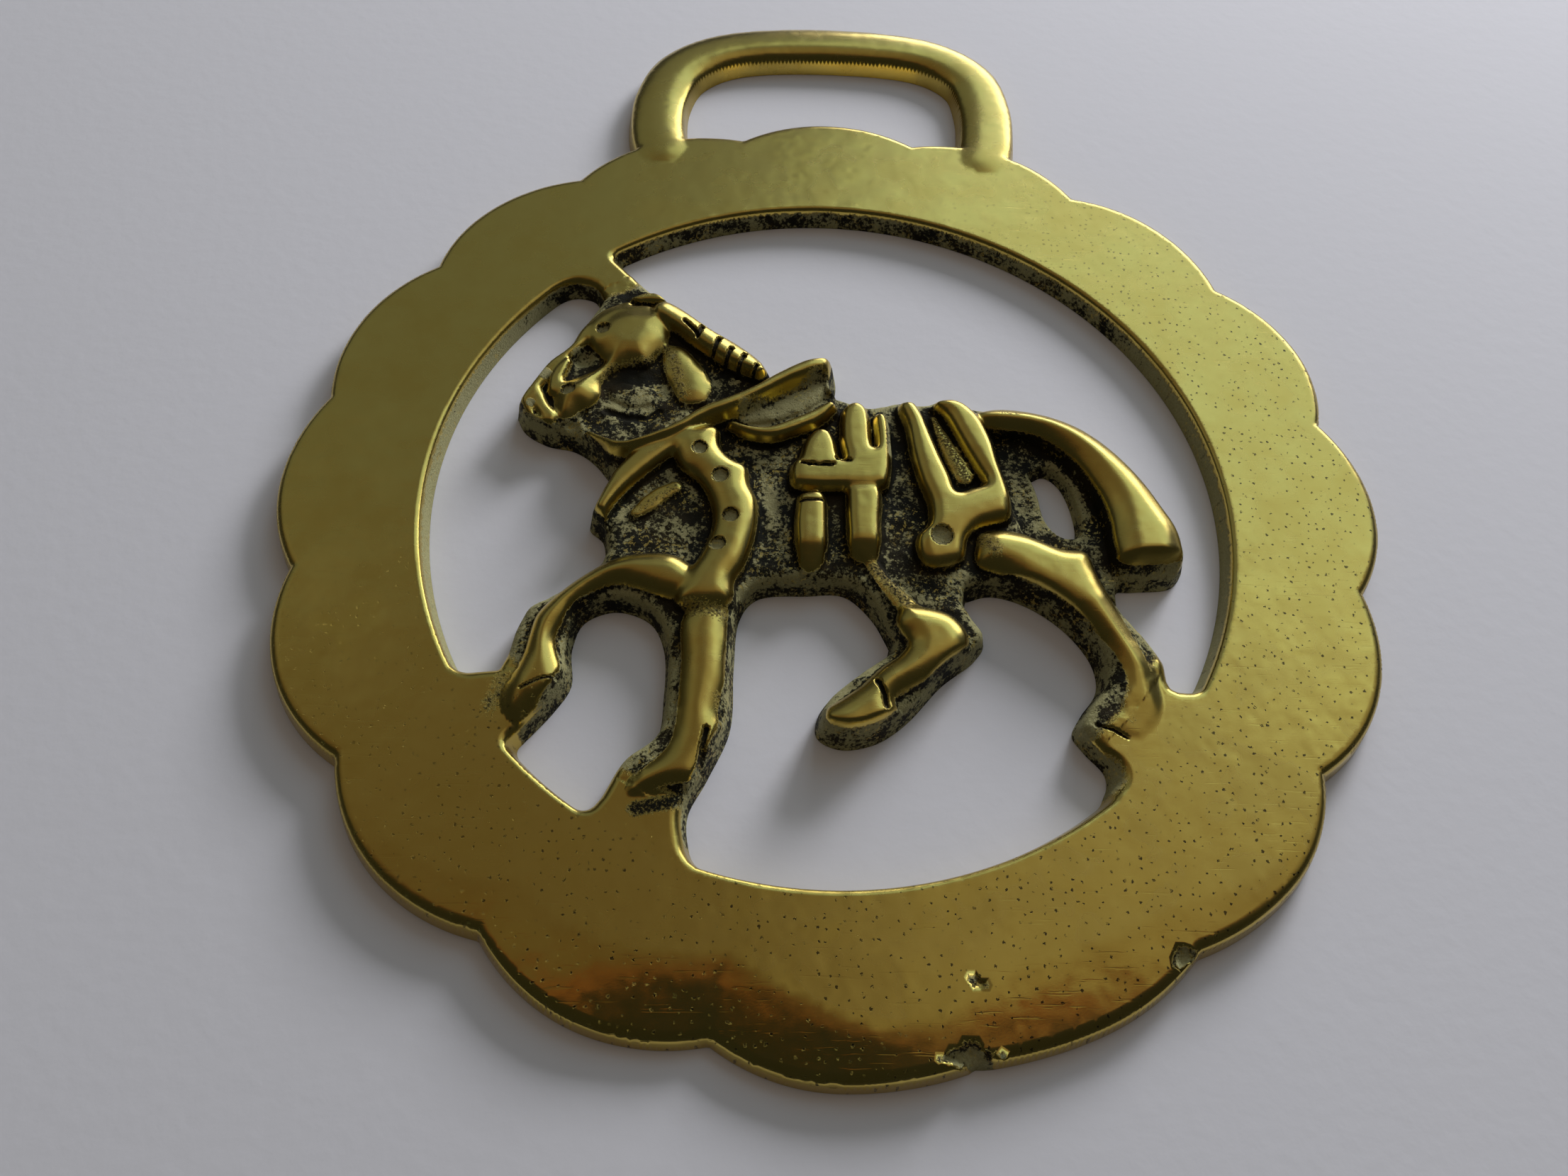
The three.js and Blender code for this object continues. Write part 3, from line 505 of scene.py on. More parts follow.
def heightLines(field, level, spacing):
    # walks the cells of the grid and gives evenly spaced points along each line of that height
    f = field - level
    f = np.where(f == 0, 1e-9, f)
    above = f > 0
    crossings = {}
    for kind, down, right in (("h", 0, 1), ("v", 1, 0)):
        ey, ex = np.nonzero(above[:len(gridY) - down, :len(gridX) - right] != above[down:, right:])
        t = f[ey, ex] / (f[ey, ex] - f[ey + down, ex + right])
        px = gridX[ex] + t * right * (gridX[ex + right] - gridX[ex])
        py = gridY[ey] + t * down * (gridY[ey + down] - gridY[ey])
        for j, i, *point in zip(ey.tolist(), ex.tolist(), px, py):
            crossings[(kind, j, i)] = point
    links = {}
    corners = above[:-1, :-1] + 2 * above[:-1, 1:] + 4 * above[1:, 1:] + 8 * above[1:, :-1]
    cy, cx = np.nonzero((corners > 0) & (corners < 15))
    for j, i, c in zip(cy.tolist(), cx.tolist(), corners[cy, cx].tolist()):
        low, high, left, right = ("h", j, i), ("h", j + 1, i), ("v", j, i), ("v", j, i + 1)
        pairs = {1: [(left, low)], 2: [(low, right)], 3: [(left, right)], 4: [(right, high)],
                 6: [(low, high)], 7: [(high, left)], 5: [(left, low), (right, high)],
                 10: [(low, right), (high, left)]}
        for a, b in pairs[c if c in pairs else 15 - c]:
            links.setdefault(a, []).append(b)
            links.setdefault(b, []).append(a)
    loops, seen = [], set()
    for start in links:
        if start in seen:
            continue
        chain, here, last = [start], start, None
        seen.add(start)
        while True:
            nextOnes = [k for k in links[here] if k != last and k not in seen]
            if not nextOnes:
                break
            last, here = here, nextOnes[0]
            seen.add(here)
            chain.append(here)
        p = np.array([crossings[k] for k in chain])
        if len(p) < 6:
            continue
        closed = np.vstack([p, p[:1]])
        length = np.concatenate([[0], np.cumsum(np.hypot(*np.diff(closed, axis=0).T))])
        n = max(6, int(round(length[-1] / spacing)))
        at = np.linspace(0, length[-1], n, endpoint=False)
        loop = np.column_stack([np.interp(at, length, closed[:, 0]), np.interp(at, length, closed[:, 1])])
        turn = np.roll(loop, -1, axis=0)
        area = np.sum(loop[:, 0] * turn[:, 1] - loop[:, 1] * turn[:, 0])
        loops.append(loop if area > 0 else loop[::-1])
    return loops


def sampleGrid(grid, x, y):
    step = gridX[1] - gridX[0]
    u = np.clip((x - gridX[0]) / step, 0, len(gridX) - 1.001)
    v = np.clip((y - gridY[0]) / step, 0, len(gridY) - 1.001)
    i, j = u.astype(int), v.astype(int)
    fu, fv = u - i, v - j
    return ((grid[j, i] * (1 - fu) + grid[j, i + 1] * fu) * (1 - fv)
            + (grid[j + 1, i] * (1 - fu) + grid[j + 1, i + 1] * fu) * fv)


def blurred(grid, radius, passes=3):
    # repeated box blur along both axes
    n = max(1, int(round(radius / meshPlan["grid"])))
    out = grid
    for _ in range(passes):
        for axis in (0, 1):
            pad = [(n + 1, n) if a == axis else (0, 0) for a in (0, 1)]
            total = np.cumsum(np.pad(out, pad, mode="edge"), axis=axis)
            size = out.shape[axis]
            upper = np.take(total, range(2 * n + 1, 2 * n + 1 + size), axis=axis)
            lower = np.take(total, range(0, size), axis=axis)
            out = (upper - lower) / (2 * n + 1)
    return out


def hexPoints(lo, hi, spacing):
    rowStep = spacing * math.sqrt(3) / 2
    ys = np.arange(lo[1], hi[1], rowStep)
    xs = np.arange(lo[0], hi[0], spacing)
    px, py = np.meshgrid(xs, ys)
    px = px + 0.5 * spacing * (np.arange(len(ys)) % 2)[:, None]
    return np.column_stack([px.ravel(), py.ravel()])


print("scene: height grid")
(lowX, lowY), (highX, highY) = meshPlan["gridArea"]
gridX = np.arange(lowX, highX, meshPlan["grid"])
gridY = np.arange(lowY, highY, meshPlan["grid"])
gx, gy = np.meshgrid(gridX, gridY)
softened = blurred(np.maximum(bodyHeight(gx, gy), 0), meshPlan["grid"])
heightGrid = reliefHeight(gx, gy)
slopeGrid = np.hypot(*np.gradient(heightGrid, meshPlan["grid"])[::-1])


def inHorse(x, y):
    return fromOpening(x, y) < meshPlan["fineMargin"]


def onRim(x, y):
    return fromOpening(x, y) > -0.8


print("scene: outline and height lines")
outlines = heightLines(heightGrid, 0.0, meshPlan["outlineSpacing"])
outlines.sort(key=len, reverse=True)
rows = []
for level in meshPlan["levels"]:
    for line in heightLines(heightGrid, level, meshPlan["rowSpacing"]):
        steep = sampleGrid(slopeGrid, *line.T) > meshPlan["steep"]
        # every second point is enough on the ring
        rows.append(line[steep & (inHorse(*line.T) | (np.arange(len(line)) % 2 == 0))])
edgeGrid = edgeDistance(gx, gy)
for distance in meshPlan["edgeRows"]:
    for line in heightLines(edgeGrid, distance, meshPlan["edgeRowSpacing"]):
        calm = sampleGrid(slopeGrid, *line.T) < meshPlan["steep"] * 0.9
        rows.append(line[calm & onRim(*line.T)])
rows = np.vstack(rows)


def clearOfRows(x, y, gap):
    # leaves out the points that would crowd a row or the outline
    h = reliefHeight(x, y)
    s = np.maximum(sampleGrid(slopeGrid, x, y), 0.05)
    levels = np.array([0.0] + meshPlan["levels"])
    lineGap = np.min(np.abs(h[:, None] - levels), axis=1) / s
    lineGap = np.where(s > meshPlan["steep"] * 0.9, lineGap, 9)
    edgeGap = np.min(np.abs(edgeDistance(x, y)[:, None] - np.array(meshPlan["edgeRows"])), axis=1)
    return (h > 0.03) & (lineGap > gap) & (h / s > gap * 1.3) & ((edgeGap > gap) | ~onRim(x, y))


fine = hexPoints(*meshPlan["horseArea"], meshPlan["fineSpacing"])
fine = fine[inHorse(*fine.T)]
fine = fine[clearOfRows(*fine.T, meshPlan["fineGap"])]
coarse = hexPoints(*meshPlan["wholeArea"], meshPlan["coarseSpacing"])
coarse = coarse[fromOpening(*coarse.T) > meshPlan["fineMargin"] + 0.3]
coarse = coarse[clearOfRows(*coarse.T, meshPlan["coarseGap"])]
print("  points: rows", len(rows), "horse", len(fine), "ring and loop", len(coarse))

boundary = np.vstack(outlines)
count = len(boundary)
starts = np.cumsum([0] + [len(o) for o in outlines])
loopsIndex = [list(range(a, b)) for a, b in zip(starts[:-1], starts[1:])]


def fillPlan(plan):
    # triangles between the points, inside the outline and outside its holes
    vec = [Vector(p) for p in plan.tolist()]
    verts, _, faces, _, _, origFaces = delaunay_2d_cdt(vec, [], loopsIndex, 0, 1e-5, True)
    kept = [f for f, o in zip(faces, origFaces) if tuple(o) == (0,)]
    return np.array([v[:] for v in verts]), np.array(kept)


print("scene: triangulating")
topPlan, topFaces = fillPlan(np.vstack([boundary, rows, fine, coarse]))
topZ = reliefHeight(*topPlan.T)
# the cast skin left on the low ground, and a little of it everywhere else
random = np.random.default_rng(detail["skinSeed"])
skin = np.zeros(heightGrid.shape)
for size, rough in detail["skin"]:
    grain = blurred(random.standard_normal(heightGrid.shape), size, 2)
    skin = skin + grain / grain.std() * rough
lowGround = smoothStep(2.35, 2.0, heightGrid) * (fromOpening(gx, gy) < -2.5)
skinGrid = skin * (lowGround + detail["polishedSkin"]) * smoothStep(0.4, 1.0, heightGrid)
topZ = topZ + sampleGrid(skinGrid, *topPlan.T)
topZ[:count] = 0.0
back = hexPoints(*meshPlan["wholeArea"], meshPlan["backSpacing"])
backPlan, backFaces = fillPlan(np.vstack([boundary, back[reliefHeight(*back.T) > 1.0]]))

# front and back share the points of the outline
vertices = np.vstack([np.column_stack([topPlan, np.maximum(topZ, 0.0)]),
                      np.column_stack([backPlan[count:], np.zeros(len(backPlan) - count)])])
backFaces = np.where(backFaces >= count, backFaces + len(topPlan) - count, backFaces)[:, ::-1]
faces = np.vstack([topFaces, backFaces])
vertices[:, :2] += ringCentre

mesh = bpy.data.meshes.new("brassCasting")
mesh.vertices.add(len(vertices))
mesh.vertices.foreach_set("co", (vertices * mm).ravel())
mesh.loops.add(faces.size)
mesh.loops.foreach_set("vertex_index", faces.astype(np.int32).ravel())
mesh.polygons.add(len(faces))
mesh.polygons.foreach_set("loop_start", np.arange(0, faces.size, 3, dtype=np.int32))
mesh.polygons.foreach_set("loop_total", np.full(len(faces), 3, dtype=np.int32))
mesh.update(calc_edges=True)
mesh.validate()
mesh.polygons.foreach_set("use_smooth", np.ones(len(mesh.polygons), bool))


def fullHeight(x, y):
    return reliefHeight(x, y) + sampleGrid(skinGrid, x, y)


# the front takes its shading from the height field itself, so the polish mirrors without a ripple
nudge = meshPlan["nudge"]
slopes = [(fullHeight(*(topPlan - step).T) - fullHeight(*(topPlan + step).T)) / (2 * nudge)
          for step in (np.array([nudge, 0]), np.array([0, nudge]))]
front = np.column_stack([np.clip(g, -7, 7) for g in slopes] + [np.ones(len(topPlan))])
front = front / np.linalg.norm(front, axis=1)[:, None]
cornerVertex = np.empty(len(mesh.loops), np.int32)
mesh.loops.foreach_get("vertex_index", cornerVertex)
normals = np.tile([0.0, 0.0, -1.0], (len(cornerVertex), 1))
frontCorners = 3 * len(topFaces)
normals[:frontCorners] = front[cornerVertex[:frontCorners]]
mesh.normals_split_custom_set(normals)

# Dirt and dried polish, beyond what lies in every recess
dirt = {
    "pitted": [-20.5, -17, 3.5],  # pits by the raised fore hoof: x, y and radius
    # where dirt also clings: a line of points, its radius, strength and 1 for pale dirt
    "clings": [
        [[[-9.6, -10], [-7.2, -10.3]], 1.1, 0.62, 0], [[[-20.8, -15], [-21.4, -16.8]], 1.2, 0.6, 0],
        [[[-12, -23.2], [-9.3, -22.6]], 0.8, 0.85, 0], [[[9.6, -3.8], [10.6, -5.2]], 1.1, 0.62, 0],
        [[[-11.6, 13], [-12.2, 11.8], [-13, 10.6]], 0.9, 0.62, 0],
        [[[-12, 12], [-11.4, 10.2], [-10.8, 7.6]], 0.9, 0.62, 0], [[[-15.6, 9.2], [-13, 10]], 1.5, 1, 0],
        [[[-7.4, -16], [-7.2, -17]], 0.6, 0.62, 0], [[[-11, 9], [-10.4, 7.6]], 0.7, 0.5, 0],
        [[[12, 6.6], [13.2, 6.3]], 0.6, 0.5, 0], [[[18.3, -16.9], [18.3, -16.9]], 0.8, 0.45, 0],
        [[[-15.4, 17.4], [-14, 17.5]], 0.9, 0.85, 0], [[[7.2, 6.3], [8.2, 3.6], [9.2, 1]], 0.9, 0.6, 0],
        [[[-11, -0.4], [-13.3, -2.4]], 0.8, 0.56, 0], [[[2.6, -6.4], [4.6, -9]], 0.9, 0.7, 0],
        [[[-5.9, 5.9], [-4, 6.5], [-2.1, 7.7], [-0.9, 8.9]], 1.25, 1, 1],
        [[[-15.4, 6.9], [-13.6, 6.8]], 1.2, 0.8, 1], [[[3.9, 6], [3.9, 2.6]], 0.4, 0.7, 1],
        [[[-5.4, 2.4], [-4.4, 0], [-4.2, -2]], 0.6, 0.7, 1]],
    # where the floor was rubbed bright: x, y, radius and strength
    "rubbed": [[-16.4, 19.6, 2.6, 0.95], [-4.5, -4.3, 1.8, 0.3], [-4.4, -7, 1.3, 0.3],
               [8.3, 3.2, 2.4, 0.4], [-12.2, -1.4, 1.6, 0.4], [4.2, -4, 1.2, 0.3], [4.6, -8.6, 1.2, 0.3]],
}

print("scene: masks")
ringOuter, ringInner = ringField(gx, gy)
turnGrid = np.degrees(np.arctan2(gy, gx)) % 360
solid = (heightGrid > 0).astype(float)
shown = np.maximum(heightGrid, 0)
nearMean = blurred(shown, 0.3) / np.maximum(blurred(solid, 0.3), 0.05)
masks = {name: np.zeros(heightGrid.shape) for name in ("worn", "hollow", "side", "foot", "pale", "pitted")}


def lay(grid, *names):
    for name in names:
        masks[name] = np.maximum(masks[name], grid)


# dirt on the low ground, less where it was rubbed
low = smoothStep(2.3, 2.0, heightGrid) * smoothStep(-2.2, -4.2, ringInner)
for spot in dirt["rubbed"]:
    low = low * (1 - spot[3] * fadeOut(0.3, 1.1, spotDistance(gx, gy, spot)))
lay(low, "hollow")
# dirt in the feet and up the walls of the raised work
feet = smoothStep(0.09, 0.34, nearMean - shown) * smoothStep(2.7, 2.2, heightGrid)
lay(feet * smoothStep(-0.3, -1.5, ringInner), "foot")
walls = smoothStep(1.3, 2.4, slopeGrid) * smoothStep(2.6, 2.15, heightGrid)
lay(walls * smoothStep(1.5, 1.9, heightGrid) * smoothStep(-1, -2.5, ringInner), "foot")
for line, radius, strength, isPale in dirt["clings"]:
    spot = strength * fadeOut(0.1, 1.3, lineDistance(gx, gy, line) / radius)
    lay(spot if isPale else spot * 0.8, "hollow" if isPale else "foot")
    lay(spot * isPale * 0.7, "pale")
# the sides under the edges; along the front of the opening the wall is polished
side = smoothStep(1.0, 2.2, slopeGrid) * smoothStep(1.5, 1.15, heightGrid) * (ringInner < 4)
frontWall = smoothStep(212, 222, turnGrid) * smoothStep(325, 312, turnGrid)
side = side * (1 - frontWall * smoothStep(-1.2, -0.4, ringInner))
lay(side, "side")
# painted shade: the ring's inner wall along the top, which faces the front, is painted black; it is pale on
# the left and the lower right
topWallShade = smoothStep(22, 40, turnGrid) - smoothStep(132, 150, turnGrid)
lay(side * (ringInner > -0.9) * topWallShade, "foot")
lay(side * 0.8, "pale")
lay(fadeOut(0.45, 0.98, blurred(solid, 0.9)), "pale")
# hollows, dips and flaws are filled with pale dirt and rimmed with black
for dip in detail["dips"]:
    lay(0.9 * fadeOut(0.45, 1.3, spotDistance(gx, gy, dip)), "hollow", "pale")
for hollow in detail["hollows"]:
    d = spotDistance(gx, gy, hollow)
    lay(fadeOut(0.75, 1.1, d), "hollow", "pale")
    lay((1 - np.clip(np.abs(d - 1) * hollow[2] / 0.16, 0, 1)) * 0.9, "foot")
for *oval, _ in detail["flaws"]:
    d = flawDistance(gx, gy, *oval)
    lay(fadeOut(0.8, 1.05, d), "hollow", "pale")
    lay((1 - np.clip(np.abs(d - 0.95) / 0.25, 0, 1)) * 0.9, "foot")
# painted shade: every cut line is painted black along its groove
for line, half, _ in detail["cutLines"]:
    lay(fadeOut(half * 0.6, half * 1.7, lineDistance(gx, gy, line)), "foot")
# pits gather towards the lower right and by the raised fore hoof
lay(smoothStep(-34, 24, gx - gy) * smoothStep(-1, 1.5, ringInner), "pitted")
lay(fadeOut(0.3, 1, spotDistance(gx, gy, dirt["pitted"])) * 0.9, "pitted")
# the rubbed-down rim
angle, width, drop = np.array(detail["worn"]).T
band = smoothStep(0.05, 0.4, np.interp(turnGrid, angle, drop)) * (ringInner > 2) * (gy < 0)
lay(band * fadeOut(0.7, 1.1, ringOuter / np.interp(turnGrid, angle, width)), "worn")
for name, grid in masks.items():
    values = sampleGrid(grid, *(vertices[:, :2] - ringCentre).T)
    values[len(topPlan):] = 0.0  # the back is plain
    layer = mesh.attributes.new(name, "FLOAT", "POINT")
    layer.data.foreach_set("value", values.astype(np.float32))
print("scene: casting of", len(mesh.polygons), "triangles")
casting = bpy.data.objects.new("brassCasting", mesh)
bpy.context.scene.collection.objects.link(casting)
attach(casting, "root")
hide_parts("brass_casting")


def linear(hexColour):
    out = []
    for i in (1, 3, 5):
        c = int(hexColour[i:i + 2], 16) / 255
        out.append(c / 12.92 if c <= 0.04045 else ((c + 0.055) / 1.055) ** 2.4)
    return (*out, 1.0)


def perMetre(sizeInMm):
    return 1 / (sizeInMm * mm)


def addNode(tree, kind, inputs=None, out=0, **settings):
    # one node, its settings, and for each input a value or the socket that feeds it; gives one output
    node = tree.nodes.new("ShaderNode" + kind)
    for key, value in settings.items():
        setattr(node, key, value)
    for key, value in (inputs or {}).items():
        if isinstance(value, bpy.types.NodeSocket):
            tree.links.new(value, node.inputs[key])
        else:
            node.inputs[key].default_value = value
    return node.outputs[out]


# Cast brass, hand polished on everything that stands up and left dark where a cloth can't reach. The polish
# gives satin reflections with soft edges; black tarnish and pale dried polish fill the recesses, and the same
# black is painted as shade along the cut lines and on the ring's inner wall along the top.
brassLook = {
    "brass": "#cab25a",
    "deepBrass": "#c3a850",      # the warmer, less freshly rubbed patches
    "tarnish": "#15140a",
    "brownTarnish": "#2a220f",
    "driedPolish": "#736f43",
    "driedPolishLight": "#b8b285",
    "polishedRoughness": 0.24,
    "mirrorRoughness": 0.12,     # along the rubbed-down rim
    "dulledRoughness": 0.3,
    "coat": (0.3, 0.35),         # weight and roughness of the haze that polishing leaves
    "dirtRoughness": 0.4,        # added where dirt lies
    "dirtMetallic": 0.12,
    "dirtGloss": 0.18,
    "dirtStarts": (0.97, 1.17),  # speckle and masks together: dirt begins, and covers the metal
    "blackStarts": (2.42, 2.78),  # and where it turns from pale to black
    "patterns": {                # each noise: size in mm, detail, roughness and shift in metres
        "mottle": (0.17, 5, 0.68, 0),       # the speckle of the recesses
        "speckle": (0.255, 5, 0.7, 0.013),  # black against pale dirt
        "grain": (0.13, 3, 0.6, 0.007),     # the cast surface's own, drawn coarser than its true 0.05
        "patch": (3.2, 3, 0.5, 0.03),       # warmer patches of polish
        "cloud": (1.5, 4, 0.6, 0.05),       # darker clouds in the recesses
        "fleck": (0.3, 3, 0.65, 0.021),     # bare brass among the dirt
        "fleckArea": (2.6, 2, 0.5, 0.047),
    },
    "blackness": {"speckle": 3, "cloud": 2.6, "foot": 0.75, "pale": -0.95},
    "rubAngles": (28, -61),      # degrees, the two ways the cloth went
    "rubWidth": 0.22,            # mm, drawn wider than the true 0.03 so that it shows
    "pitSpacing": 0.62,          # mm
    "pitSize": (0.03, 0.16),     # as shares of the spacing
    "bumpDepth": 0.06,           # mm
    "bumpStrength": 0.7,
}


def castBrass():
    look = brassLook
    hue = {name: linear(value) for name, value in look.items() if isinstance(value, str)}
    material = bpy.data.materials.new("handPolishedCastBrass")
    material.use_nodes = True
    tree = material.node_tree
    shader = tree.nodes["Principled BSDF"].inputs
    add = partial(addNode, tree)
    place = add("TexCoord", out="Object")
    part = {name: add("Attribute", out="Fac", attribute_name=name) for name in masks}
    for name, (size, depth, rough, shift) in look["patterns"].items():
        moved = add("Mapping", {"Vector": place, "Location": (shift, shift, 0)})
        part[name] = add("TexNoise", {"Vector": moved, "Scale": perMetre(size), "Detail": depth,
                                      "Roughness": rough})

    # where the polish stops: the recess masks with a ragged, speckled edge
    reach = add("Math", {0: part["side"], 1: part["foot"]}, operation="MAXIMUM")
    reach = add("Math", {0: part["hollow"], 1: reach}, operation="MAXIMUM")
    ragged = add("Math", {0: part["mottle"], 1: 1.1, 2: reach}, operation="MULTIPLY_ADD")
    starts, covers = look["dirtStarts"]
    dirtAndShade = add("MapRange", {0: ragged, 1: starts, 2: covers})

    # flecks of bare brass show through the dirt in some places
    fleck = add("MapRange", {0: part["fleck"], 1: 0.57, 2: 0.6})
    fleckArea = add("MapRange", {0: part["fleckArea"], 1: 0.5, 2: 0.6})
    fleck = add("Math", {0: fleck, 1: fleckArea}, operation="MULTIPLY")
    covered = add("Math", {0: fleck, 1: -0.6, 2: 1.0}, operation="MULTIPLY_ADD")
    dirtAndShade = add("Math", {0: dirtAndShade, 1: covered}, operation="MULTIPLY")
    clean = add("Math", {0: 1.0, 1: dirtAndShade}, operation="SUBTRACT")

    # black in the ridges' feet, the speckle and the clouds, and the painted shade along the cut lines and the
    # top of the ring's inner wall; pale towards the open edges
    blackness = 0.0
    for name, weight in look["blackness"].items():
        blackness = add("Math", {0: part[name], 1: weight, 2: blackness}, operation="MULTIPLY_ADD")
    starts, covers = look["blackStarts"]
    black = add("MapRange", {0: blackness, 1: starts, 2: covers})
    brownness = add("MapRange", {0: part["patch"], 1: 0.4, 2: 0.7})
    warmth = add("MapRange", {0: part["patch"], 1: 0.35, 2: 0.7})
    pale = add("Mix", {0: part["grain"], 6: hue["driedPolish"], 7: hue["driedPolishLight"]}, 2,
               data_type="RGBA")
    dark = add("Mix", {0: brownness, 6: hue["tarnish"], 7: hue["brownTarnish"]}, 2, data_type="RGBA")
    soil = add("Mix", {0: black, 6: pale, 7: dark}, 2, data_type="RGBA")
    brass = add("Mix", {0: warmth, 6: hue["brass"], 7: hue["deepBrass"]}, 2, data_type="RGBA")

    # casting pits, only in some cells and mostly on the worn side of the ring
    cell = add("TexVoronoi", {"Vector": place, "Scale": perMetre(look["pitSpacing"])}, "Distance",
               voronoi_dimensions="2D")
    chance = add("SeparateColor", {"Color": cell.node.outputs["Color"]})
    lucky = add("MapRange", {0: chance, 1: 0.22, 2: 0.27})
    small, large = look["pitSize"]
    size = add("MapRange", {0: chance.node.outputs[1], 3: small, 4: large})
    uneven = add("Math", {0: part["grain"], 1: 0.5, 2: cell}, operation="MULTIPLY_ADD")
    uneven = add("Math", {0: uneven, 1: 0.25}, operation="SUBTRACT")
    pit = add("Math", {0: uneven, 1: size}, operation="LESS_THAN")
    broken = add("Math", {0: part["mottle"], 1: 0.45}, operation="GREATER_THAN")
    for share in (lucky, part["pitted"], broken):
        pit = add("Math", {0: pit, 1: share}, operation="MULTIPLY")
    stain = add("Math", {0: pit, 1: 0.85}, operation="MULTIPLY")

    colour = add("Mix", {0: dirtAndShade, 6: brass, 7: soil}, 2, data_type="RGBA")
    colour = add("Mix", {0: stain, 6: colour, 7: hue["brownTarnish"]}, 2, data_type="RGBA")
    tree.links.new(colour, shader["Base Color"])
    # bare metal against dirt and painted shade, which are hardly metallic and have no gloss of their own
    coatWeight, coatRoughness = look["coat"]
    for socket, bare, soiled in (("Metallic", 1.0, look["dirtMetallic"]), ("Coat Weight", coatWeight, 0.0),
                                 ("Specular IOR Level", 0.5, look["dirtGloss"])):
        tree.links.new(add("MapRange", {0: dirtAndShade, 3: bare, 4: soiled}), shader[socket])
    polish = add("MapRange", {0: part["patch"], 1: 0.3, 2: 0.75, 3: look["polishedRoughness"],
                              4: look["dulledRoughness"]})
    smoother = look["mirrorRoughness"] - look["polishedRoughness"]
    polish = add("Math", {0: part["worn"], 1: smoother, 2: polish}, operation="MULTIPLY_ADD")
    rough = add("Math", {0: dirtAndShade, 1: look["dirtRoughness"], 2: polish}, operation="MULTIPLY_ADD",
                use_clamp=True)
    tree.links.new(rough, shader["Roughness"])
    shader["Coat Roughness"].default_value = coatRoughness

    # rubbing marks: a noise drawn out along two directions
    marks = 0.0
    for turn in look["rubAngles"]:
        along = add("Mapping", {"Vector": place, "Rotation": (0, 0, math.radians(turn)),
                                "Scale": (0.06, 1, 1)})
        streak = add("TexNoise", {"Vector": along, "Scale": perMetre(look["rubWidth"])})
        streak = add("MapRange", {0: streak, 1: 0.66, 2: 0.72})
        marks = add("Math", {0: streak, 1: marks}, operation="MAXIMUM")
    marks = add("Math", {0: marks, 1: clean}, operation="MULTIPLY")
    texture = add("Math", {0: part["mottle"], 1: part["grain"]}, operation="ADD")
    depth = add("Math", {0: dirtAndShade, 1: 0.03}, operation="ADD")
    relief = add("Math", {0: texture, 1: depth}, operation="MULTIPLY")
    for hole, share in ((pit, -0.6), (marks, -0.05)):
        relief = add("Math", {0: hole, 1: share, 2: relief}, operation="MULTIPLY_ADD")
    bump = add("Bump", {"Height": relief, "Strength": look["bumpStrength"],
                        "Distance": look["bumpDepth"] * mm})
    tree.links.new(bump, shader["Normal"])
    return material


print("scene: material")
mesh.materials.append(castBrass())

# Matte writing paper: a soft white with faint fibres that show only in raking light
paperLook = {
    "colour": "#dcdce2",
    "roughness": 0.9,
    "half": 700,          # half the sheet's side, mm
    "below": 0.03,        # how far under the casting it lies, mm
    "fibreSize": 1.1,     # mm, drawn coarser than the true 0.1
    "fibreDepth": 0.03,   # mm
}
half = paperLook["half"] * mm
floorMesh = bpy.data.meshes.new("paper")
corners = [(-half, -half, 0), (half, -half, 0), (half, half, 0), (-half, half, 0)]
floorMesh.from_pydata(corners, [], [(0, 1, 2, 3)])
paper = bpy.data.objects.new("paper", floorMesh)
paper.location.z = -paperLook["below"] * mm
bpy.context.scene.collection.objects.link(paper)
sheetLook = bpy.data.materials.new("mattePaper")
sheetLook.use_nodes = True
sheet = sheetLook.node_tree
sheetShader = sheet.nodes["Principled BSDF"].inputs
sheetShader["Base Color"].default_value = linear(paperLook["colour"])
sheetShader["Roughness"].default_value = paperLook["roughness"]
fibres = addNode(sheet, "TexNoise", {"Vector": addNode(sheet, "TexCoord", out="Object"),
                                     "Scale": perMetre(paperLook["fibreSize"]), "Detail": 3.0})
sheetBump = addNode(sheet, "Bump", {"Height": fibres, "Strength": 0.5,
                                    "Distance": paperLook["fibreDepth"] * mm})
sheet.links.new(sheetBump, sheetShader["Normal"])
floorMesh.materials.append(sheetLook)

print("scene: camera and light")
camera = {
    "lens": 27.017,
    "position": (-5.416, -46.875, 68.422),  # from the ring's centre, mm
    "turn": (0.5291, -0.0267, 0.0252),
}
cameraData = bpy.data.cameras.new("camera")
cameraData.lens = camera["lens"]
cameraData.sensor_width = 36
cameraData.clip_start = 0.001
cameraObject = bpy.data.objects.new("camera", cameraData)
cameraObject.rotation_mode = "ZYX"
cameraObject.rotation_euler = camera["turn"]
cameraObject.location = [(p + c) * mm for p, c in zip(camera["position"], (*ringCentre, 0))]
bpy.context.scene.collection.objects.link(cameraObject)
bpy.context.scene.camera = cameraObject

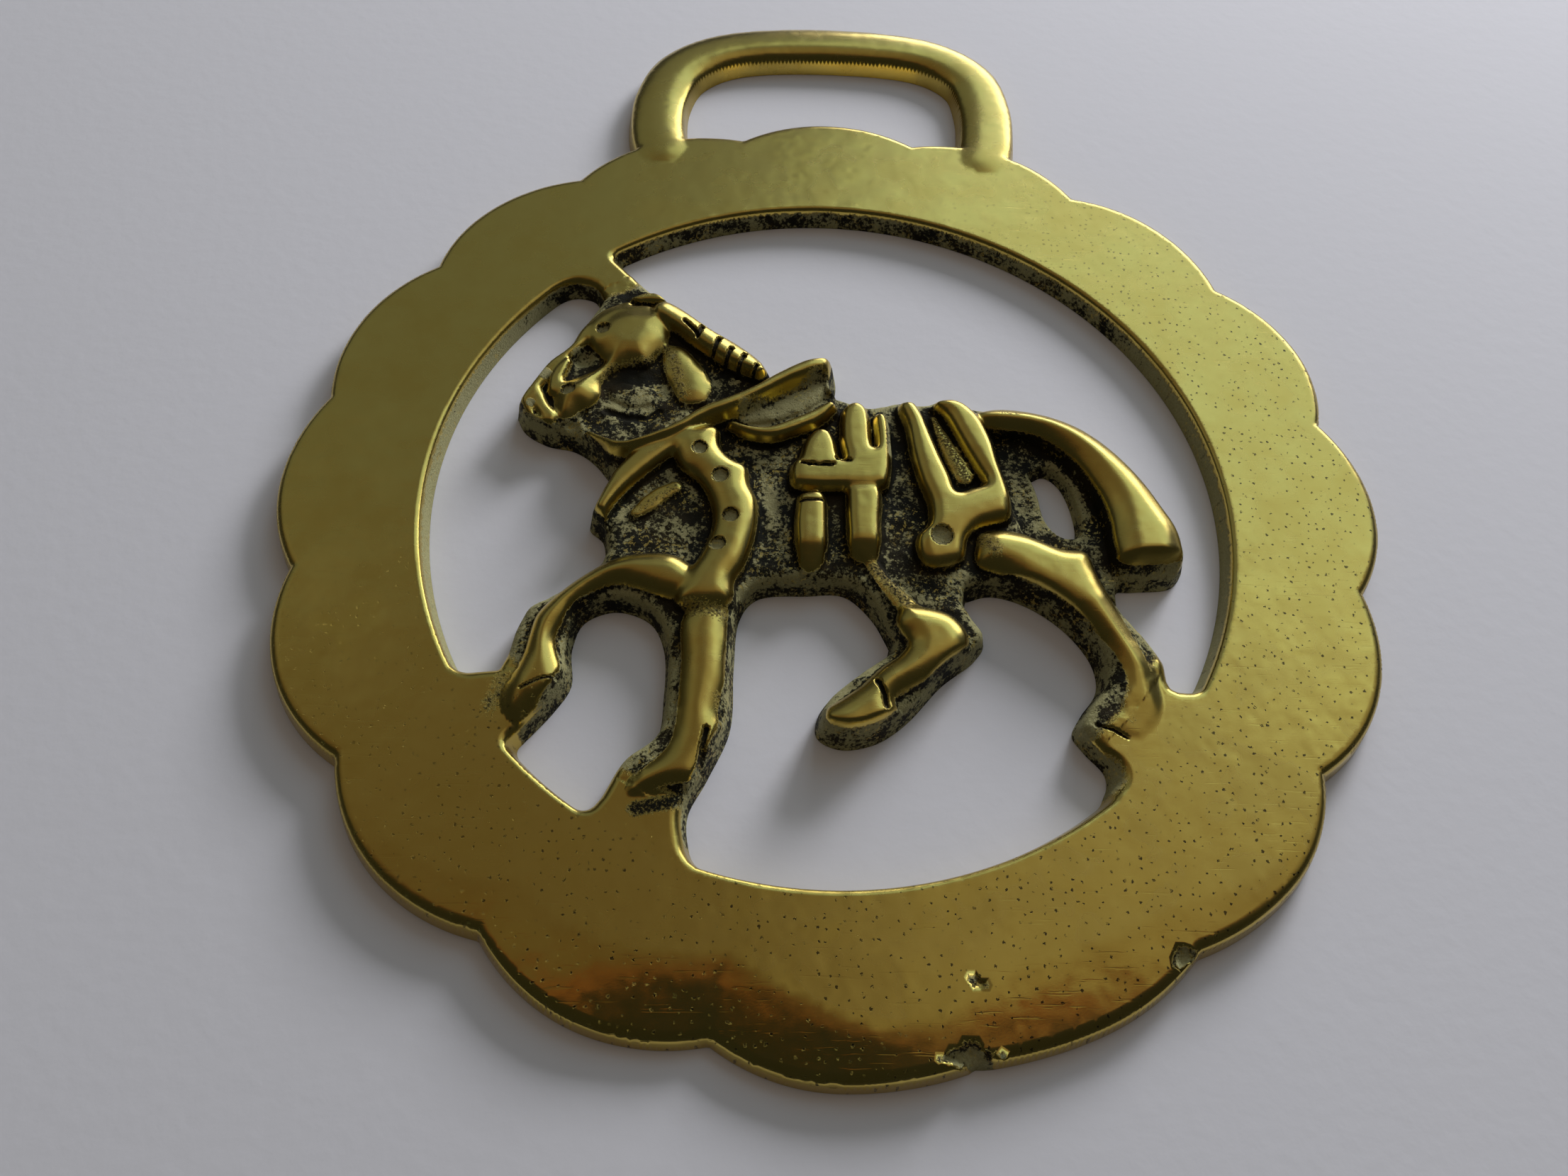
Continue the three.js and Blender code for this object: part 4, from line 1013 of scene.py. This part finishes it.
# The room: a window low at the back right, a pale ceiling that ends overhead, and a dark front. The two
# lamps near the casting light only what is matt, because up close the brass would mirror their shape.
room = {
    "colour": "#8f938c",
    "strength": 0.1,
    "lights": {  # place and size in metres
        "window": {"place": (0.55, 1.05, 0.3), "size": (1.0, 0.45), "radiance": 4.5, "colour": "#f2f6ff"},
        "backRight": {"place": (0.56, 0.9, 0.86), "size": (1.02, 0.8), "radiance": 1.2, "colour": "#c9e6f8"},
        "backLeft": {"place": (-0.5, 0.9, 0.86), "size": (1.2, 0.8), "radiance": 0.22, "colour": "#d8e6ea"},
        "aboveRight": {"place": (0.68, 0.3, 1.0), "size": (1.2, 0.62), "radiance": 0.34, "colour": "#fff3dc"},
        "aboveLeft": {"place": (-0.62, 0.3, 1.0), "size": (1.4, 0.62), "radiance": 0.135,
                      "colour": "#ffe2b8"},
        "warmEdge": {"place": (0.0, -0.045, 1.0), "size": (1.8, 0.04), "radiance": 0.5, "colour": "#cc7840"},
        "nearWindow": {"place": (0.22, 0.33, 0.14), "size": (0.12, 0.12), "radiance": 35.5,
                       "colour": "#fdfcff", "mattOnly": True},
        "roomBounce": {"place": (-0.1, -0.1, 0.9), "size": (1.0, 1.0), "radiance": 0.22,
                       "colour": "#ffe6cf", "mattOnly": True},
    },
}


def softbox(name, place, size, radiance, colour, mattOnly=False):
    data = bpy.data.lights.new(name, "AREA")
    data.shape = "RECTANGLE"
    data.size, data.size_y = size
    data.energy = radiance * math.pi * size[0] * size[1]
    data.color = linear(colour)[:3]
    lamp = bpy.data.objects.new(name, data)
    lamp.location = place
    aim = Vector((0, 0, -1)) if place[2] > 0.95 else -Vector(place)  # ceiling panels hang level
    lamp.rotation_euler = aim.to_track_quat("-Z", "Y").to_euler()
    lamp.visible_glossy = not mattOnly
    bpy.context.scene.collection.objects.link(lamp)


for name, one in room["lights"].items():
    softbox(name, **one)
world = bpy.data.worlds.new("room")
world.use_nodes = True
background = world.node_tree.nodes["Background"].inputs
background["Color"].default_value = linear(room["colour"])
background["Strength"].default_value = room["strength"]
bpy.context.scene.world = world
bpy.context.scene.view_settings.view_transform = "Standard"
